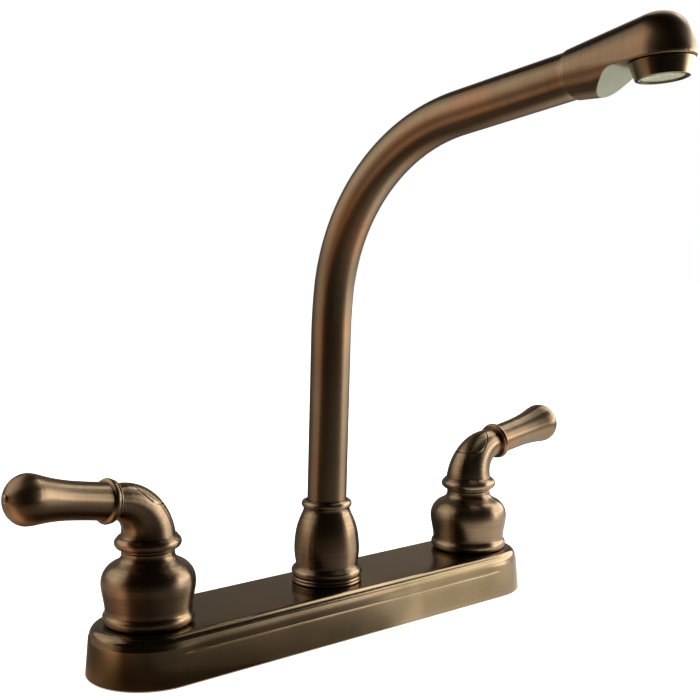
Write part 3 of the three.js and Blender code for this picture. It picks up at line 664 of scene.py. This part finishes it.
class FAUCET_OT_hubs(bpy.types.Operator):
    """Turn and bend each handle's elbow, with its index cap let in"""

    bl_idname = "faucet.hubs"
    bl_label = "Handle elbows and caps"

    cap_radius, cap_offset, cap_foot, cap_edge = 8.4, 2.4, 73.6, 0.3
    rim_turn = math.radians(35)  # the cap's edges that turn further are broken
    root, tip, past_end = 12.7, 7.07, 2.0  # the taper is aimed at a tip just past the elbow's end
    socket = (4.5, 54, 66.3)  # radius, foot and top of the hole for the stem

    def outside(self):
        """The whole elbow with its bead, before the cap is let in."""
        taper_from, steps = HUB_BEAD_HEIGHT + 3.2, 40
        taper = []
        for i in range(steps + 1):
            z = taper_from + (HUB_END - taper_from) * i / steps
            part = (z - HUB_BEAD_HEIGHT) / (HUB_LENGTH + self.past_end)
            taper.append((self.root + (self.tip - self.root) * part, z))
        foot = BELL_TOP + GAP
        return bent(turned([
            (0, foot), (11.9, foot), (12.3, foot + 0.35), (12.35, 55.35),
            *arc(12.1, HUB_BEAD_HEIGHT, 2.7, -68, 52, 14),
            (13.25, 60.75), *taper, (0, HUB_END),
        ], closed=False))

    def post(self, radius, foot):
        """The upright round that the cap is, or that makes room for it."""
        return placed(bar(radius, foot, HUB_END + 12), Matrix.Translation((self.cap_offset, 0, 0)))

    def cap(self):
        bm = carved(self.outside(), [("INTERSECT", self.post(self.cap_radius, self.cap_foot))])
        rim = [e for e in bm.edges if e.calc_face_angle(0.0) > self.rim_turn
               and min(v.co.z for v in e.verts) > self.cap_foot + 0.5]
        bmesh.ops.bevel(bm, geom=rim, offset=self.cap_edge, affect="EDGES", segments=2,
                        profile=0.5, material=-1, clamp_overlap=True)
        merged(bm)
        loose = [f for f in bm.faces if all(len(e.link_faces) < 2 for e in f.edges)]
        bmesh.ops.delete(bm, geom=loose, context="FACES")
        return bm

    def execute(self, context):
        for name in HANDLE_X:
            hub = carved(self.outside(), [
                ("DIFFERENCE", self.post(self.cap_radius + sizes().seam / MM, self.cap_foot - GAP)),
                ("DIFFERENCE", bar(*self.socket)),
            ])
            for piece, bm, node in (
                    ("hub_shell", hub, "handle_hub"), ("cap_plug", self.cap(), "index_cap")):
                finish_piece(f"{name}_{piece}", placed(bm, handle_place(name)), "bronze",
                             f"{name}_handle", "bronze", f"{name}_{node}")
        return {"FINISHED"}


class FAUCET_OT_levers(bpy.types.Operator):
    """Turn each lever's grip with its ring and end knob"""

    bl_idname = "faucet.levers"
    bl_label = "Levers"

    def execute(self, context):
        length, bulb_at, bulb = 48.8, 38.9, 10.75
        grip = flow([(8.25, 2.2), (8.15, 7.0), (8.15, 12.0), (8.32, 20.0), (8.9, 27.0),
                     (9.75, 32.5), (10.5, 36.4), (bulb, bulb_at)], 5)
        end = [(bulb * math.cos(a) ** 1.12, bulb_at + (length - bulb_at) * math.sin(a))
               for a in (math.radians(6 * k) for k in range(1, 13))]
        outline = [
            (0, -8.0), (3.2, -8.0), (3.5, -7.7), (3.5, -RING_WIRE),
            (7.5, -RING_WIRE), (9.2, -RING_WIRE), (9.45, -1.5), (9.5, -1.2), (9.1, -0.95),
            (9.0, -0.7), *arc(8.5, 0.45, 1.4, -50, 62, 9), (8.5, 1.95),
            *grip, *end,
            (2.0, length - 0.05), (1.85, length + 0.4), (1.4, length + 0.7), (0.7, length + 0.8),
            (0, length + 0.8),
        ]
        middle, angle = handle_line(HUB_END + RING_WIRE + GAP)
        for name in HANDLE_X:
            laid = handle_place(name) @ Matrix.Translation(middle) @ Matrix.Rotation(angle, 4, "Y")
            bm = placed(turned(outline, closed=False), laid)
            finish_piece(f"{name}_lever_grip", bm, "drawn bronze", f"{name}_handle", "bronze",
                         f"{name}_lever")
        return {"FINISHED"}


class FAUCET_OT_collar(bpy.types.Operator):
    """Turn the vase-shaped collar and the two rings under it"""

    bl_idname = "faucet.collar"
    bl_label = "Collar and rings"

    def execute(self, context):
        bore, ring_height = 10.15, 1.25
        foot = BELL_FOOT + 2 * (ring_height + GAP)
        outline = [
            (POST_BORE, foot), (16.2, foot), (16.5, foot + 0.3),
            *arc(15.5, 27.6, 2.15, -58, 62, 12), (16.35, 29.75), (15.6, 30.3),
            *flow([(15.4, 31.2), (15.8, 33.6), (16.1, 36.2), (16.2, 39.1), (15.95, 43.0),
                   (15.3, 47.6), (14.1, 51.8), (12.5, 55.6), (11.7, 57.4), (11.45, 58.6)], 4),
            *arc(10.6, 60.9, 1.9, -52, 80, 12),
            (bore + 0.3, COLLAR_TOP), (bore, COLLAR_TOP - 0.3), (bore, 50.4), (POST_BORE, 50.4),
        ]
        finish_piece("collar_vase", turned(outline), "bronze", "base", "bronze", "spout_collar")
        for k, name in enumerate(("lower", "upper")):
            low = BELL_FOOT + k * (ring_height + GAP)
            high, half = low + ring_height, ring_height / 2
            ring = [(POST_BORE, low), (16.9, low), *arc(16.8, low + half, half, -80, 80, 8),
                    (16.9, high), (POST_BORE, high)]
            finish_piece(f"collar_trim_{name}", turned(ring), "bronze", "base", "bronze",
                         f"collar_ring_{name}")
        return {"FINISHED"}


# The spout's middle line lies in one plane: (ahead, height) pairs before the spout is turned.
TUBE_RADIUS, TUBE_WALL, TUBE_FOOT, LEAN_HEIGHT = 9.73, 1.43, 40.0, 58.0
LEAN_BEND, EASY_BEND, MAIN_BEND = (100.0, 2.2), (215.0, 5.5), (93.8, 72.65)  # radius, degrees
RISING, REACH = 86.4, 58.2
LEAN_TANGENT = LEAN_BEND[0] * math.tan(math.radians(LEAN_BEND[1]) / 2)
SPOUT_RUNS = (
    (LEAN_HEIGHT - LEAN_TANGENT - TUBE_FOOT, None), (None, LEAN_BEND),
    (RISING - LEAN_TANGENT, None), (None, EASY_BEND), (None, MAIN_BEND), (REACH, None),
)
SPOUT_PLACE = Matrix.Rotation(math.radians(SPOUT_TURN), 4, "Z")
HEAD_LAP = 1.2  # how far the tube's end goes under the lip of the head


def run_length(run, bend):
    return run if run else bend[0] * math.radians(bend[1])


SPOUT_LENGTH = sum(run_length(*piece) for piece in SPOUT_RUNS)


def spout_line(length):
    """Ahead, height and lean of the middle line, that far from the tube's foot."""
    ahead, height, lean = 0.0, TUBE_FOOT, 0.0
    for k, (run, bend) in enumerate(SPOUT_RUNS):
        part = length if k == len(SPOUT_RUNS) - 1 else min(length, run_length(run, bend))
        length -= part
        if run:
            ahead, height = ahead + part * math.sin(lean), height + part * math.cos(lean)
        else:
            turn = lean + part / bend[0]
            ahead += bend[0] * (math.cos(lean) - math.cos(turn))
            height += bend[0] * (math.sin(turn) - math.sin(lean))
            lean = turn
        if length <= 0:
            break
    return ahead, height, lean


class FAUCET_OT_spout_tube(bpy.types.Operator):
    """Bend the spout's tube"""

    bl_idname = "faucet.spout_tube"
    bl_label = "Spout tube"

    rows = 150  # of facets along the tube

    def execute(self, context):
        length = SPOUT_LENGTH + HEAD_LAP
        inner, rows = TUBE_RADIUS - TUBE_WALL, self.rows
        levels = [length * k / rows for k in range(1, rows)]
        bm = turned([
            (inner, 0.3), (inner + 0.3, 0.0), (TUBE_RADIUS - 0.3, 0.0), (TUBE_RADIUS, 0.3),
            *((TUBE_RADIUS, z) for z in levels), (TUBE_RADIUS, length - 0.2),
            (TUBE_RADIUS - 0.2, length), (inner, length), *((inner, z) for z in reversed(levels)),
        ])
        for vert in bm.verts:
            ahead, height, lean = spout_line(vert.co.z)
            up = vert.co.y
            vert.co = (vert.co.x, -(ahead - up * math.cos(lean)), height + up * math.sin(lean))
        bmesh.ops.recalc_face_normals(bm, faces=bm.faces)
        finish_piece("spout_pipe", placed(bm, SPOUT_PLACE), "drawn bronze", "spout", "bronze",
                     "spout_tube")
        return {"FINISHED"}


TUBE_END = spout_line(SPOUT_LENGTH)
TUBE_END_RISE = math.pi / 2 - TUBE_END[2]
OUTLET_AHEAD, OUTLET_ABOVE, OUTLET_LEAN = 39.3, 1.6, math.radians(5.7)
OUTLET_POINT = (0, -(TUBE_END[0] + OUTLET_AHEAD), TUBE_END[1] + OUTLET_ABOVE)
# Stands a piece on the outlet, whose axis leans back a little.
OUTLET_PLACE = (SPOUT_PLACE @ Matrix.Translation(OUTLET_POINT)
                @ Matrix.Rotation(-OUTLET_LEAN, 4, "X"))


def aimed(rise):
    """Lays a piece that stands along Z at the end of the tube, where it points ahead and rises."""
    return (SPOUT_PLACE @ Matrix.Translation((0, -TUBE_END[0], TUBE_END[1]))
            @ Matrix.Rotation(math.pi / 2 - rise, 4, "X"))


class FAUCET_OT_spout_head(bpy.types.Operator):
    """Model the cast end of the spout: its sleeve, dome and scooped underside"""

    bl_idname = "faucet.spout_head"
    bl_label = "Spout head"

    sleeve, flare, side_flare, lower_lip = 10.38, 0.107, 0.08, 14.5
    rise, passage_rise = math.radians(7.6), math.radians(17)
    dome_radius, dome_height, fullness = 13.5, 17.8, 0.7
    wall_behind, wall_slope, ceiling, scoop_round = 16.9, math.radians(41.5), 0.2, 3.4
    smoothings = 4
    # Radius, start and end of the aerator's seat and of the two bores that lead to it.
    seat, inlet, passage = (10.9, -6.5, 9.0), (6.3, -13, 3), (4.6, 0, 36)
    ledge = -11.5  # the pale finish ends here, behind the aerator
    far = 60.0  # the scoop's cutter reaches that far out

    def hull(self):
        """The head before it is scooped out: the hull of its sleeve and its dome."""
        bm = bmesh.new()
        steps = sizes().round_steps
        wide = self.sleeve + self.lower_lip * self.side_flare
        tall = self.sleeve + self.lower_lip * self.flare
        for along, rise, side, up in ((HEAD_LAP + 0.5, TUBE_END_RISE, self.sleeve, self.sleeve),
                                      (self.lower_lip, self.rise, wide, tall)):
            place = aimed(rise) @ Matrix.Translation((0, 0, along))
            bmesh.ops.create_circle(bm, segments=steps, radius=1.0,
                                    matrix=place @ Matrix.Diagonal((side, up, 1, 1)))
        for degrees in (0, 6, 12, 18, 25, 32, 39, 46, 53, 60, 66, 72, 77, 82, 86):
            angle = math.radians(degrees)
            place = OUTLET_PLACE @ Matrix.Translation((0, 0, self.dome_height * math.sin(angle)))
            bmesh.ops.create_circle(bm, segments=steps, matrix=place,
                                    radius=self.dome_radius * math.cos(angle) ** self.fullness)
        made = bmesh.ops.convex_hull(bm, input=bm.verts)
        spare = set(corners(made["geom_interior"] + made["geom_unused"]))
        bmesh.ops.delete(bm, geom=list(spare), context="VERTS")
        loose = [e for e in bm.edges if not e.link_faces]
        bmesh.ops.delete(bm, geom=loose, context="EDGES")
        return bm

    def fine(self, bm):
        """The same skin in small even faces, smoothed."""
        body = shown(bm, "blank")
        remesh = body.modifiers.new("even", "REMESH")
        remesh.mode = "VOXEL"
        remesh.voxel_size = sizes().head_voxel / MM
        remesh.adaptivity = 0.0
        result = worked(body)
        for _ in range(self.smoothings):
            bmesh.ops.smooth_vert(result, verts=result.verts, factor=0.5,
                                  use_axis_x=True, use_axis_y=True, use_axis_z=True)
        return result

    def scoop_outline(self):
        """Ceiling, corner and wall of the scoop, as (ahead, height) from the outlet."""
        corner = Vector((-self.wall_behind, -self.ceiling))
        down_wall = Vector((-math.cos(self.wall_slope), -math.sin(self.wall_slope)))
        start = Vector((self.scoop_round - self.wall_behind, -self.ceiling))
        end = corner + down_wall * self.scoop_round
        curve = [start * (1 - t) ** 2 + corner * (2 * t * (1 - t)) + end * t ** 2
                 for t in (k / 8 for k in range(9))]
        return [Vector((self.far, -self.ceiling)), *curve, corner + down_wall * self.far]

    def scoop(self):
        """The space cut out from under the head."""
        half = self.far / 2
        bm = bmesh.new()
        outline = [*self.scoop_outline(), Vector((self.far, -self.far))]
        face = bm.faces.new([bm.verts.new((-half, -ahead, height)) for ahead, height in outline])
        side = bmesh.ops.extrude_face_region(bm, geom=[face])["geom"]
        bmesh.ops.translate(bm, verts=corners(side), vec=(2 * half, 0, 0))
        bmesh.ops.recalc_face_normals(bm, faces=bm.faces)
        return placed(bm, OUTLET_PLACE)

    def mark_scoop(self, bm):
        """Gives the scooped faces the second finish."""
        own = OUTLET_PLACE.inverted()
        outline = self.scoop_outline()
        for face in bm.faces:
            point = own @ face.calc_center_median()
            flat = Vector((-point.y, point.z))
            if flat.x > self.ledge:
                continue
            for a, b in zip(outline, outline[1:]):
                near, part = geometry.intersect_point_line(flat, a, b)
                if -0.01 <= part <= 1.01 and (flat - near).length < 0.03:
                    face.material_index = 1

    def where(self, point):
        """Place in the head's own frame, whose Z runs along it."""
        own = self.own @ point
        return own, own.z, math.atan2(own.y, own.x) / (2 * math.pi) % 1.0

    def execute(self, context):
        self.own = aimed(self.rise).inverted()
        outer, spigot, lap = self.sleeve, TUBE_RADIUS - TUBE_WALL - GAP, HEAD_LAP
        sleeve = spun([
            (0, 4), (outer - 0.2, 4), (outer, lap + 0.6), (outer - 0.1, lap + 0.1),
            (outer - 0.32, lap - 0.2), (TUBE_RADIUS + 0.1, lap - 0.2),
            (TUBE_RADIUS + 0.1, lap + GAP), (spigot, lap + GAP), (spigot, -12), (0, -12),
        ], closed=False)
        bm = carved(self.fine(self.hull()), [
            ("UNION", placed(sleeve, aimed(TUBE_END_RISE))),
            ("DIFFERENCE", self.scoop()),
            ("DIFFERENCE", placed(bar(*self.seat), OUTLET_PLACE)),
            ("DIFFERENCE", placed(bar(*self.inlet), aimed(TUBE_END_RISE))),
            ("DIFFERENCE", placed(bar(*self.passage), aimed(self.passage_rise))),
        ])
        self.mark_scoop(bm)
        piece = finish_piece("spout_casting", mark_grain(bm, self.where), "drawn bronze", "spout",
                             "bronze", "spout_head")
        piece.data.materials.append(finishes()["scooped"])
        return {"FINISHED"}


class FAUCET_OT_aerator(bpy.types.Operator):
    """Turn the tapered aerator cup and the insert in its mouth"""

    bl_idname = "faucet.aerator"
    bl_label = "Aerator"

    foot, shoulder_top, top = -7.0, -0.5, 6.5
    bore, mouth, thread = 9.4, 8.5, 10.6
    jets, jet_radius, jet_circle, jet_steps = 6, 1.1, 4.8, 16

    def cup(self):
        lip_top = self.foot + 0.8
        return placed(turned([
            (self.mouth, self.foot + 0.35), (self.mouth + 0.35, self.foot),
            (10.0, self.foot), (10.3, self.foot + 0.12), (10.42, self.foot + 0.5),
            (12.3, self.shoulder_top - 0.45), (12.38, self.shoulder_top - 0.15),
            (12.15, self.shoulder_top), (self.thread, self.shoulder_top), (self.thread, self.top),
            (self.bore, self.top), (self.bore, lip_top), (self.mouth, lip_top),
        ]), OUTLET_PLACE)

    def insert(self):
        foot = self.foot + 1.1
        outer = self.bore - GAP
        ridges = []
        for radius, half in ((7.9, 0.5), (6.4, 0.2), (3.3, 0.2), (1.8, 0.2)):
            ridges += [(radius + half + 0.15, foot + 0.3), (radius + half, foot - half * 0.6),
                       (radius - half, foot - half * 0.6), (radius - half - 0.15, foot + 0.3)]
        disc = turned([(0, self.top), (outer, self.top), (outer, foot), *ridges, (0, foot + 0.3)],
                      closed=False)
        cuts = []
        for k in range(self.jets):
            place = (Matrix.Rotation(k * 2 * math.pi / self.jets, 4, "Z")
                     @ Matrix.Translation((self.jet_circle, 0, 0)))
            jet = bar(self.jet_radius, foot - 1, self.top + 1, self.jet_steps)
            cuts.append(("DIFFERENCE", placed(jet, place)))
        return placed(carved(disc, cuts), OUTLET_PLACE)

    def execute(self, context):
        finish_piece("aerator_cup", self.cup(), "olive", "spout", "bronze", "aerator_shell")
        finish_piece("aerator_mouthpiece", self.insert(), "pale plastic", "spout", "plastic_pale",
                     "aerator_insert")
        return {"FINISHED"}


class FAUCET_OT_under_deck(bpy.types.Operator):
    """Turn the threaded shanks, and make the washers and nuts under the cover"""

    bl_idname = "faucet.under_deck"
    bl_label = "Under the deck"

    shank, bore, plate_top, flange, flange_top = 10.4, 6.3, 4.1, 19.0, 7.1
    thread_depth, thread_top = 0.75, -2.0
    nut_top, nut_height, nut_corner, nut_chamfer = -21.8, 8.5, 17.5, 1.4

    def thread(self):
        """The outside of a threaded shank, from its foot up."""
        pitch, root = sizes().thread_pitch / MM, self.shank - self.thread_depth
        low = SHANK_FOOT + 1.2
        outline = [(self.shank - 1.0, SHANK_FOOT), (root, SHANK_FOOT + 0.7)]
        for k in range(int((self.thread_top - low) / pitch)):
            z = low + k * pitch
            outline += [(root, z), (self.shank, z + pitch * 0.42), (self.shank, z + pitch * 0.58)]
        return [*outline, (root, self.thread_top), (root, self.thread_top + 0.4)]

    def body(self, name):
        seat_top, web_top, web_foot = 9.7, 1.0, -2.0
        bm = turned([
            (self.bore + 0.5, SHANK_FOOT), *self.thread(), (self.shank, -0.9),
            (self.shank, self.plate_top), (self.flange - 0.3, self.plate_top),
            (self.flange, self.plate_top + 0.3), (self.flange, self.flange_top - 0.3),
            (self.flange - 0.3, self.flange_top), (VALVE_RADIUS, self.flange_top),
            (VALVE_RADIUS, 29.6), (VALVE_RADIUS - 0.4, 30.0), (10.0, 30.0), (10.0, seat_top),
            (5.8, seat_top), (5.8, web_top), (3.2, web_top), (3.2, web_foot),
            (self.bore, web_foot), (self.bore, SHANK_FOOT + 0.5),
        ])
        across = Matrix.Translation((0, 0, 14.5)) @ Matrix.Rotation(math.pi / 2, 4, "Y")
        bm = carved(bm, [
            ("DIFFERENCE", placed(bar(5.05, 10.5, 20), across)),
            ("DIFFERENCE", placed(bar(3.75, 0, 14), across)),
        ])
        inward = Matrix.Rotation(0 if HANDLE_X[name] < 0 else math.pi, 4, "Z")
        finish_piece(f"{name}_shank_body", placed(bm, at_valve(name) @ inward), "brass", "base",
                     "brass_raw", f"{name}_valve_body")

    def nut(self, name):
        top, foot = self.nut_top, self.nut_top - self.nut_height
        bm = carved(hexagon(self.nut_corner, foot, top, self.nut_chamfer), [
            ("DIFFERENCE", bar(self.shank + GAP, foot - 1, top + 1))])
        finish_piece(f"{name}_back_nut", placed(bm, at_valve(name)), "brass", "base", "brass_raw",
                     f"{name}_lock_nut")
        washer = turned(eased([(10.7, -21.5), (18.0, -21.5), (18.0, -20.0), (10.7, -20.0)], 0.3))
        finish_piece(f"{name}_back_washer", placed(washer, at_valve(name)), "steel", "base",
                     "steel", f"{name}_lock_washer")

    def execute(self, context):
        for name in HANDLE_X:
            self.body(name)
            self.nut(name)
        return {"FINISHED"}


# Which finish each frame node that stays in view takes: the first with a word of its name.
NODE_FINISH = {
    "rubber": ("o_ring", "seat_seal", "base_gasket", "aerator_washer"),
    "brass": ("cartridge_housing", "stem", "bonnet_nut", "spout_post", "spout_bushing"),
    "copper tube": ("cross_tube",),
    "steel": ("seat_spring", "handle_screw", "base_screw"),
    "black plastic": ("base_plate", "slip_ring"),
}


class FAUCET_OT_inner_finishes(bpy.types.Operator):
    """Give each frame node that stays in view its finish"""

    bl_idname = "faucet.inner_finishes"
    bl_label = "Inner finishes"

    def execute(self, context):
        for node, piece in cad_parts.items():
            if piece.hide_render:
                continue
            fits = [finish for finish, words in NODE_FINISH.items()
                    if any(word in node for word in words)]
            if not fits:
                raise RuntimeError(f"no finish is named for {node}")
            piece.data.materials.clear()
            piece.data.materials.append(finishes()[fits[0]])
        return {"FINISHED"}


# --------------------------------------------------------------------------------- studio

# The photograph's camera: its place in millimetres, its turns in radians (from straight back
# towards +X, up from level, and round its own axis) and its lens in millimetres.
CAMERA_PLACE = (-357.735, -436.173, 182.308)
CAMERA_YAW, CAMERA_PITCH, CAMERA_ROLL = 0.707609, -0.080211, -0.000666
CAMERA_LENS = 59.216
AIM = Vector((0.0, -0.06, 0.10))  # what the lights face

# How bright the surroundings look in a reflection, round from straight behind by the left:
# azimuth, near ground, far ground, low sky, and how warm they are. Azimuths are degrees from
# straight ahead towards +X.
SURROUND = (
    (-180, 0.12, 0.08, 0.16, 0.0),
    (-160, 0.24, 0.16, 0.25, 0.1),
    (-125, 0.52, 0.45, 0.88, 0.4),
    (-106, 0.80, 0.50, 0.95, 0.6),
    (-92, 1.50, 0.30, 0.36, 0.75),
    (-80, 0.25, 0.05, 0.0, 0.9),
    (-52, 0.17, 0.01, 0.0, 0.3),
    (-5, 0.27, 0.02, 0.01, 0.1),
    (22, 0.42, 0.06, 0.10, 0.1),
    (33, 0.60, 0.18, 0.95, 0.0),
    (40, 1.10, 0.45, 2.80, 0.0),
    (47, 1.70, 0.90, 4.00, 0.0),
    (62, 1.60, 0.70, 2.00, 0.0),
    (94, 1.00, 0.30, 1.20, 0.0),
    (108, 0.15, 0.10, 0.20, 0.0),
    (133, 0.06, 0.05, 0.25, 0.3),
    (150, 0.05, 0.05, 0.18, 0.3),
)


class FAUCET_OT_stage(bpy.types.Operator):
    """Set the floor, the light and the camera"""

    bl_idname = "faucet.stage"
    bl_label = "Studio"

    spokes = 120  # round the dome and the ground sheet
    dome_radius = 2.2
    night = 0.012  # the dome's least glow
    behind_from, fade_behind, fade_ahead = 120, (38, 52), (7, 19)  # degrees round, and up the dome
    rings = (0.02, 0.06, 0.1, 0.12, 0.135, 0.15, 0.165, 0.18, 0.195, 0.21, 0.23, 0.26, 0.3, 0.36,
             0.43, 0.52, 0.65, 0.85, 1.2, 2.15)
    sheet_height = 0.0006
    near_to_far = (0.3, 0.6)
    # Painted shadow of the hot lever on the ground sheet: the azimuths, the distances and the least
    # level where the sheet is dimmed.
    dim_side, dim_within, dim_level = (-135, -60), (0.175, 0.21), 0.25
    plain_tint, warm_tint = (1.0, 0.955, 0.87), (1.0, 0.54, 0.27)
    dome_rim = Vector((0.017, -0.178, 0.256))  # of the spout's end
    floor_grey, floor_half = (0.86, 0.86, 0.86), 6.0

    def facing(self, place, target):
        """Stands a flat thing at that place, with its front to the target."""
        turn = (target - place).to_track_quat("-Z", "Y").to_matrix().to_4x4()
        return Matrix.Translation(place) @ turn

    def panel(self, azimuth, distance, height):
        """The same by azimuth, distance and height, with its front to the faucet."""
        a = math.radians(azimuth)
        place = Vector((math.sin(a), -math.cos(a), 0)) * distance + Vector((0, 0, height))
        return self.facing(place, AIM)

    def softbox(self, name, radiance, tint, size, place):
        light = bpy.data.lights.new(name, "AREA")
        light.shape = "RECTANGLE"
        light.size, light.size_y = size
        light.energy = radiance * math.pi * size[0] * size[1]
        light.color = tint
        lamp = bpy.data.objects.new(name, light)
        lamp.matrix_world = place
        lamp.visible_camera = False
        bpy.context.scene.collection.objects.link(lamp)

    def around(self, point):
        """The azimuth of a point, and what SURROUND says there, smooth between its rows."""
        azimuth = math.degrees(math.atan2(point.x, -point.y))
        rows = [*SURROUND, (SURROUND[0][0] + 360.0, *SURROUND[0][1:])]
        low, high = next(pair for pair in zip(rows, rows[1:]) if azimuth <= pair[1][0])
        part = blend(low[0], high[0], azimuth)
        return azimuth, *(a + (b - a) * part for a, b in zip(low[1:], high[1:]))

    def sky(self, point):
        """How brightly the dome glows at a point, and how warm."""
        azimuth, _, _, low_sky, warmth = self.around(point)
        rise = math.degrees(math.asin(max(-1.0, min(1.0, point.z / self.dome_radius))))
        fade = self.fade_behind if abs(azimuth) > self.behind_from else self.fade_ahead
        return self.night + low_sky * (1 - blend(*fade, rise)), warmth

    def dome(self):
        """A dark dome over everything, which glows a little at some azimuths."""
        bm = bmesh.new()
        bmesh.ops.create_uvsphere(bm, u_segments=self.spokes, v_segments=48,
                                  radius=self.dome_radius)
        bmesh.ops.reverse_faces(bm, faces=bm.faces)
        return self.glowing(bm, self.sky)

    def sheet(self, point):
        """The same for the ground sheet, which is dimmer close to the cover's left end: a painted
        shadow of the hot lever on the ground.
        """
        azimuth, near, far, _, warmth = self.around(point)
        away = blend(*self.near_to_far, point.length)
        level = near * (1 - away) + far * away
        # dims the sheet where the painted shadow of the hot lever lies
        if self.dim_side[0] < azimuth < self.dim_side[1]:
            level *= self.dim_level + (1 - self.dim_level) * blend(*self.dim_within, point.length)
        return level, warmth

    def ground(self):
        """A glowing sheet just over the floor, which only reflections see."""
        bm = bmesh.new()
        bmesh.ops.create_circle(bm, segments=self.spokes, radius=self.rings[0], cap_ends=True)
        ring = list(bm.edges)
        for radius in self.rings[1:]:
            fresh, ring = extruded(bm, ring)
            for vert in fresh:
                vert.co = vert.co.normalized() * radius
        return placed(self.glowing(bm, self.sheet), Matrix.Translation((0, 0, self.sheet_height)))

    def bounce(self, size, place, level):
        """A small pale card above the spout's end, with its front to the rim of the dome."""
        bm = bmesh.new()
        bmesh.ops.create_grid(bm, x_segments=1, y_segments=1, size=size / 2)
        return placed(self.glowing(bm, lambda point: (level, 0.0)),
                      self.facing(place, self.dome_rim))

    def glowing(self, bm, glow_at):
        """Stores how a card glows. glow_at(point) gives how brightly and how warm."""
        glow = bm.verts.layers.float_color.new("glow")
        for vert in bm.verts:
            level, warmth = glow_at(vert.co)
            vert[glow] = [level * (plain + (warm - plain) * warmth)
                          for plain, warm in zip(self.plain_tint, self.warm_tint)] + [1.0]
        return bm

    def card(self, name, bm):
        """A card that only reflections see, and that glows as its corners say."""
        finish = Finish(name)
        finish.feed(finish.shader, {
            "Base Color": opaque((0, 0, 0)), "Roughness": 1.0, "Specular IOR Level": 0.0,
            "Emission Color": finish.attribute("glow", "Color"), "Emission Strength": 1.0})
        card = shown(bm, name)
        card.data.materials.append(finish.material)
        for way in ("camera", "diffuse", "transmission", "volume_scatter", "shadow"):
            setattr(card, f"visible_{way}", False)

    def surround(self, ambient):
        """White as it is seen, and a plain weaker light for the rest."""
        world = bpy.data.worlds.new("surround")
        world.use_nodes = True
        bpy.context.scene.world = world
        sky = NodeTree(world.node_tree)
        level = sky.spread(sky.seen_directly(), 0.0, 1.0, ambient, 1.0)
        sky.feed(world.node_tree.nodes["Background"], {"Color": WHITE, "Strength": level})

    def floor(self, lift):
        """A pale floor that is lifted to white, and is clear from below."""
        finish = Finish("floor")
        finish.feed(finish.shader, {
            "Base Color": opaque(self.floor_grey), "Roughness": 0.9, "Specular IOR Level": 0.0})
        glow = finish.node("ShaderNodeEmission", {
            "Color": WHITE, "Strength": finish.sum_up("MULTIPLY", finish.seen_directly(), lift)})
        both = finish.node("ShaderNodeAddShader", {0: finish.shader.outputs[0], 1: glow.outputs[0]})
        clear = finish.node("ShaderNodeBsdfTransparent")
        back = finish.node("ShaderNodeNewGeometry").outputs["Backfacing"]
        either = finish.node("ShaderNodeMixShader", {
            0: back, 1: both.outputs[0], 2: clear.outputs[0]})
        finish.feed(finish.tree.nodes["Material Output"], {"Surface": either.outputs[0]})
        bm = bmesh.new()
        bmesh.ops.create_grid(bm, x_segments=1, y_segments=1, size=self.floor_half)
        ground = shown(bm, "floor")
        ground.data.materials.append(finish.material)

    def camera(self):
        data = bpy.data.cameras.new("camera")
        data.lens, data.sensor_width = CAMERA_LENS, 36.0
        data.clip_start, data.clip_end = 0.01, 50.0
        camera = bpy.data.objects.new("camera", data)
        turn = (Matrix.Rotation(-CAMERA_YAW, 4, "Z")
                @ Matrix.Rotation(math.pi / 2 + CAMERA_PITCH, 4, "X")
                @ Matrix.Rotation(CAMERA_ROLL, 4, "Z"))
        camera.matrix_world = Matrix.Translation(Vector(CAMERA_PLACE) * MM) @ turn
        bpy.context.scene.collection.objects.link(camera)
        bpy.context.scene.camera = camera

    def execute(self, context):
        studio = context.scene.faucet_studio
        context.scene.view_settings.view_transform = "Standard"
        self.camera()
        self.surround(studio.ambient)
        self.floor(studio.floor_lift)
        left = tuple(studio.left_tint)
        self.softbox("softbox right", studio.right_box, (1.0, 0.965, 0.90), (1.0, 0.5),
                     self.panel(75.0, 0.85, 0.36))
        self.softbox("softbox left", studio.left_box, left, (1.7, 1.2), self.panel(-134, 1.1, 0.86))
        self.softbox("softbox above", studio.top_box, (1.0, 0.98, 0.92), (0.75, 0.5),
                     self.panel(96, 0.95, 1.05))
        self.card("bounce card", self.bounce(0.14, Vector((0.15, -0.09, 0.45)), 0.9))
        self.card("surround", self.dome())
        self.card("ground sheet", self.ground())
        return {"FINISHED"}


# ---------------------------------------------------------------------------------- panel

GROUPS = {"faucet_sizes": FaucetSizes, "faucet_finish": FaucetFinish, "faucet_studio": FaucetStudio}
OPERATORS = (
    FAUCET_OT_cover, FAUCET_OT_bells, FAUCET_OT_hubs, FAUCET_OT_levers, FAUCET_OT_collar,
    FAUCET_OT_spout_tube, FAUCET_OT_spout_head, FAUCET_OT_aerator, FAUCET_OT_under_deck,
    FAUCET_OT_inner_finishes, FAUCET_OT_stage,
)


class FAUCET_PT_panel(bpy.types.Panel):
    """Sizes, finishes and operators of the faucet"""

    bl_label = "Faucet"
    bl_idname = "FAUCET_PT_panel"
    bl_space_type = "VIEW_3D"
    bl_region_type = "UI"
    bl_category = "Faucet"

    def draw(self, context):
        layout = self.layout
        for group, kind in GROUPS.items():
            box = layout.box()
            for name in kind.__annotations__:
                box.prop(getattr(context.scene, group), name)
        for operator in OPERATORS:
            layout.operator(operator.bl_idname)


def register():
    for kind in (*GROUPS.values(), *OPERATORS, FAUCET_PT_panel):
        bpy.utils.register_class(kind)
    for group, kind in GROUPS.items():
        setattr(bpy.types.Scene, group, bpy.props.PointerProperty(type=kind))


def unregister():
    for group in GROUPS:
        delattr(bpy.types.Scene, group)
    for kind in (FAUCET_PT_panel, *reversed(OPERATORS), *reversed(GROUPS.values())):
        bpy.utils.unregister_class(kind)


def main():
    register()
    for operator in OPERATORS:
        getattr(bpy.ops.faucet, operator.bl_idname.split(".")[1])()


if __name__ == "__main__":
    main()
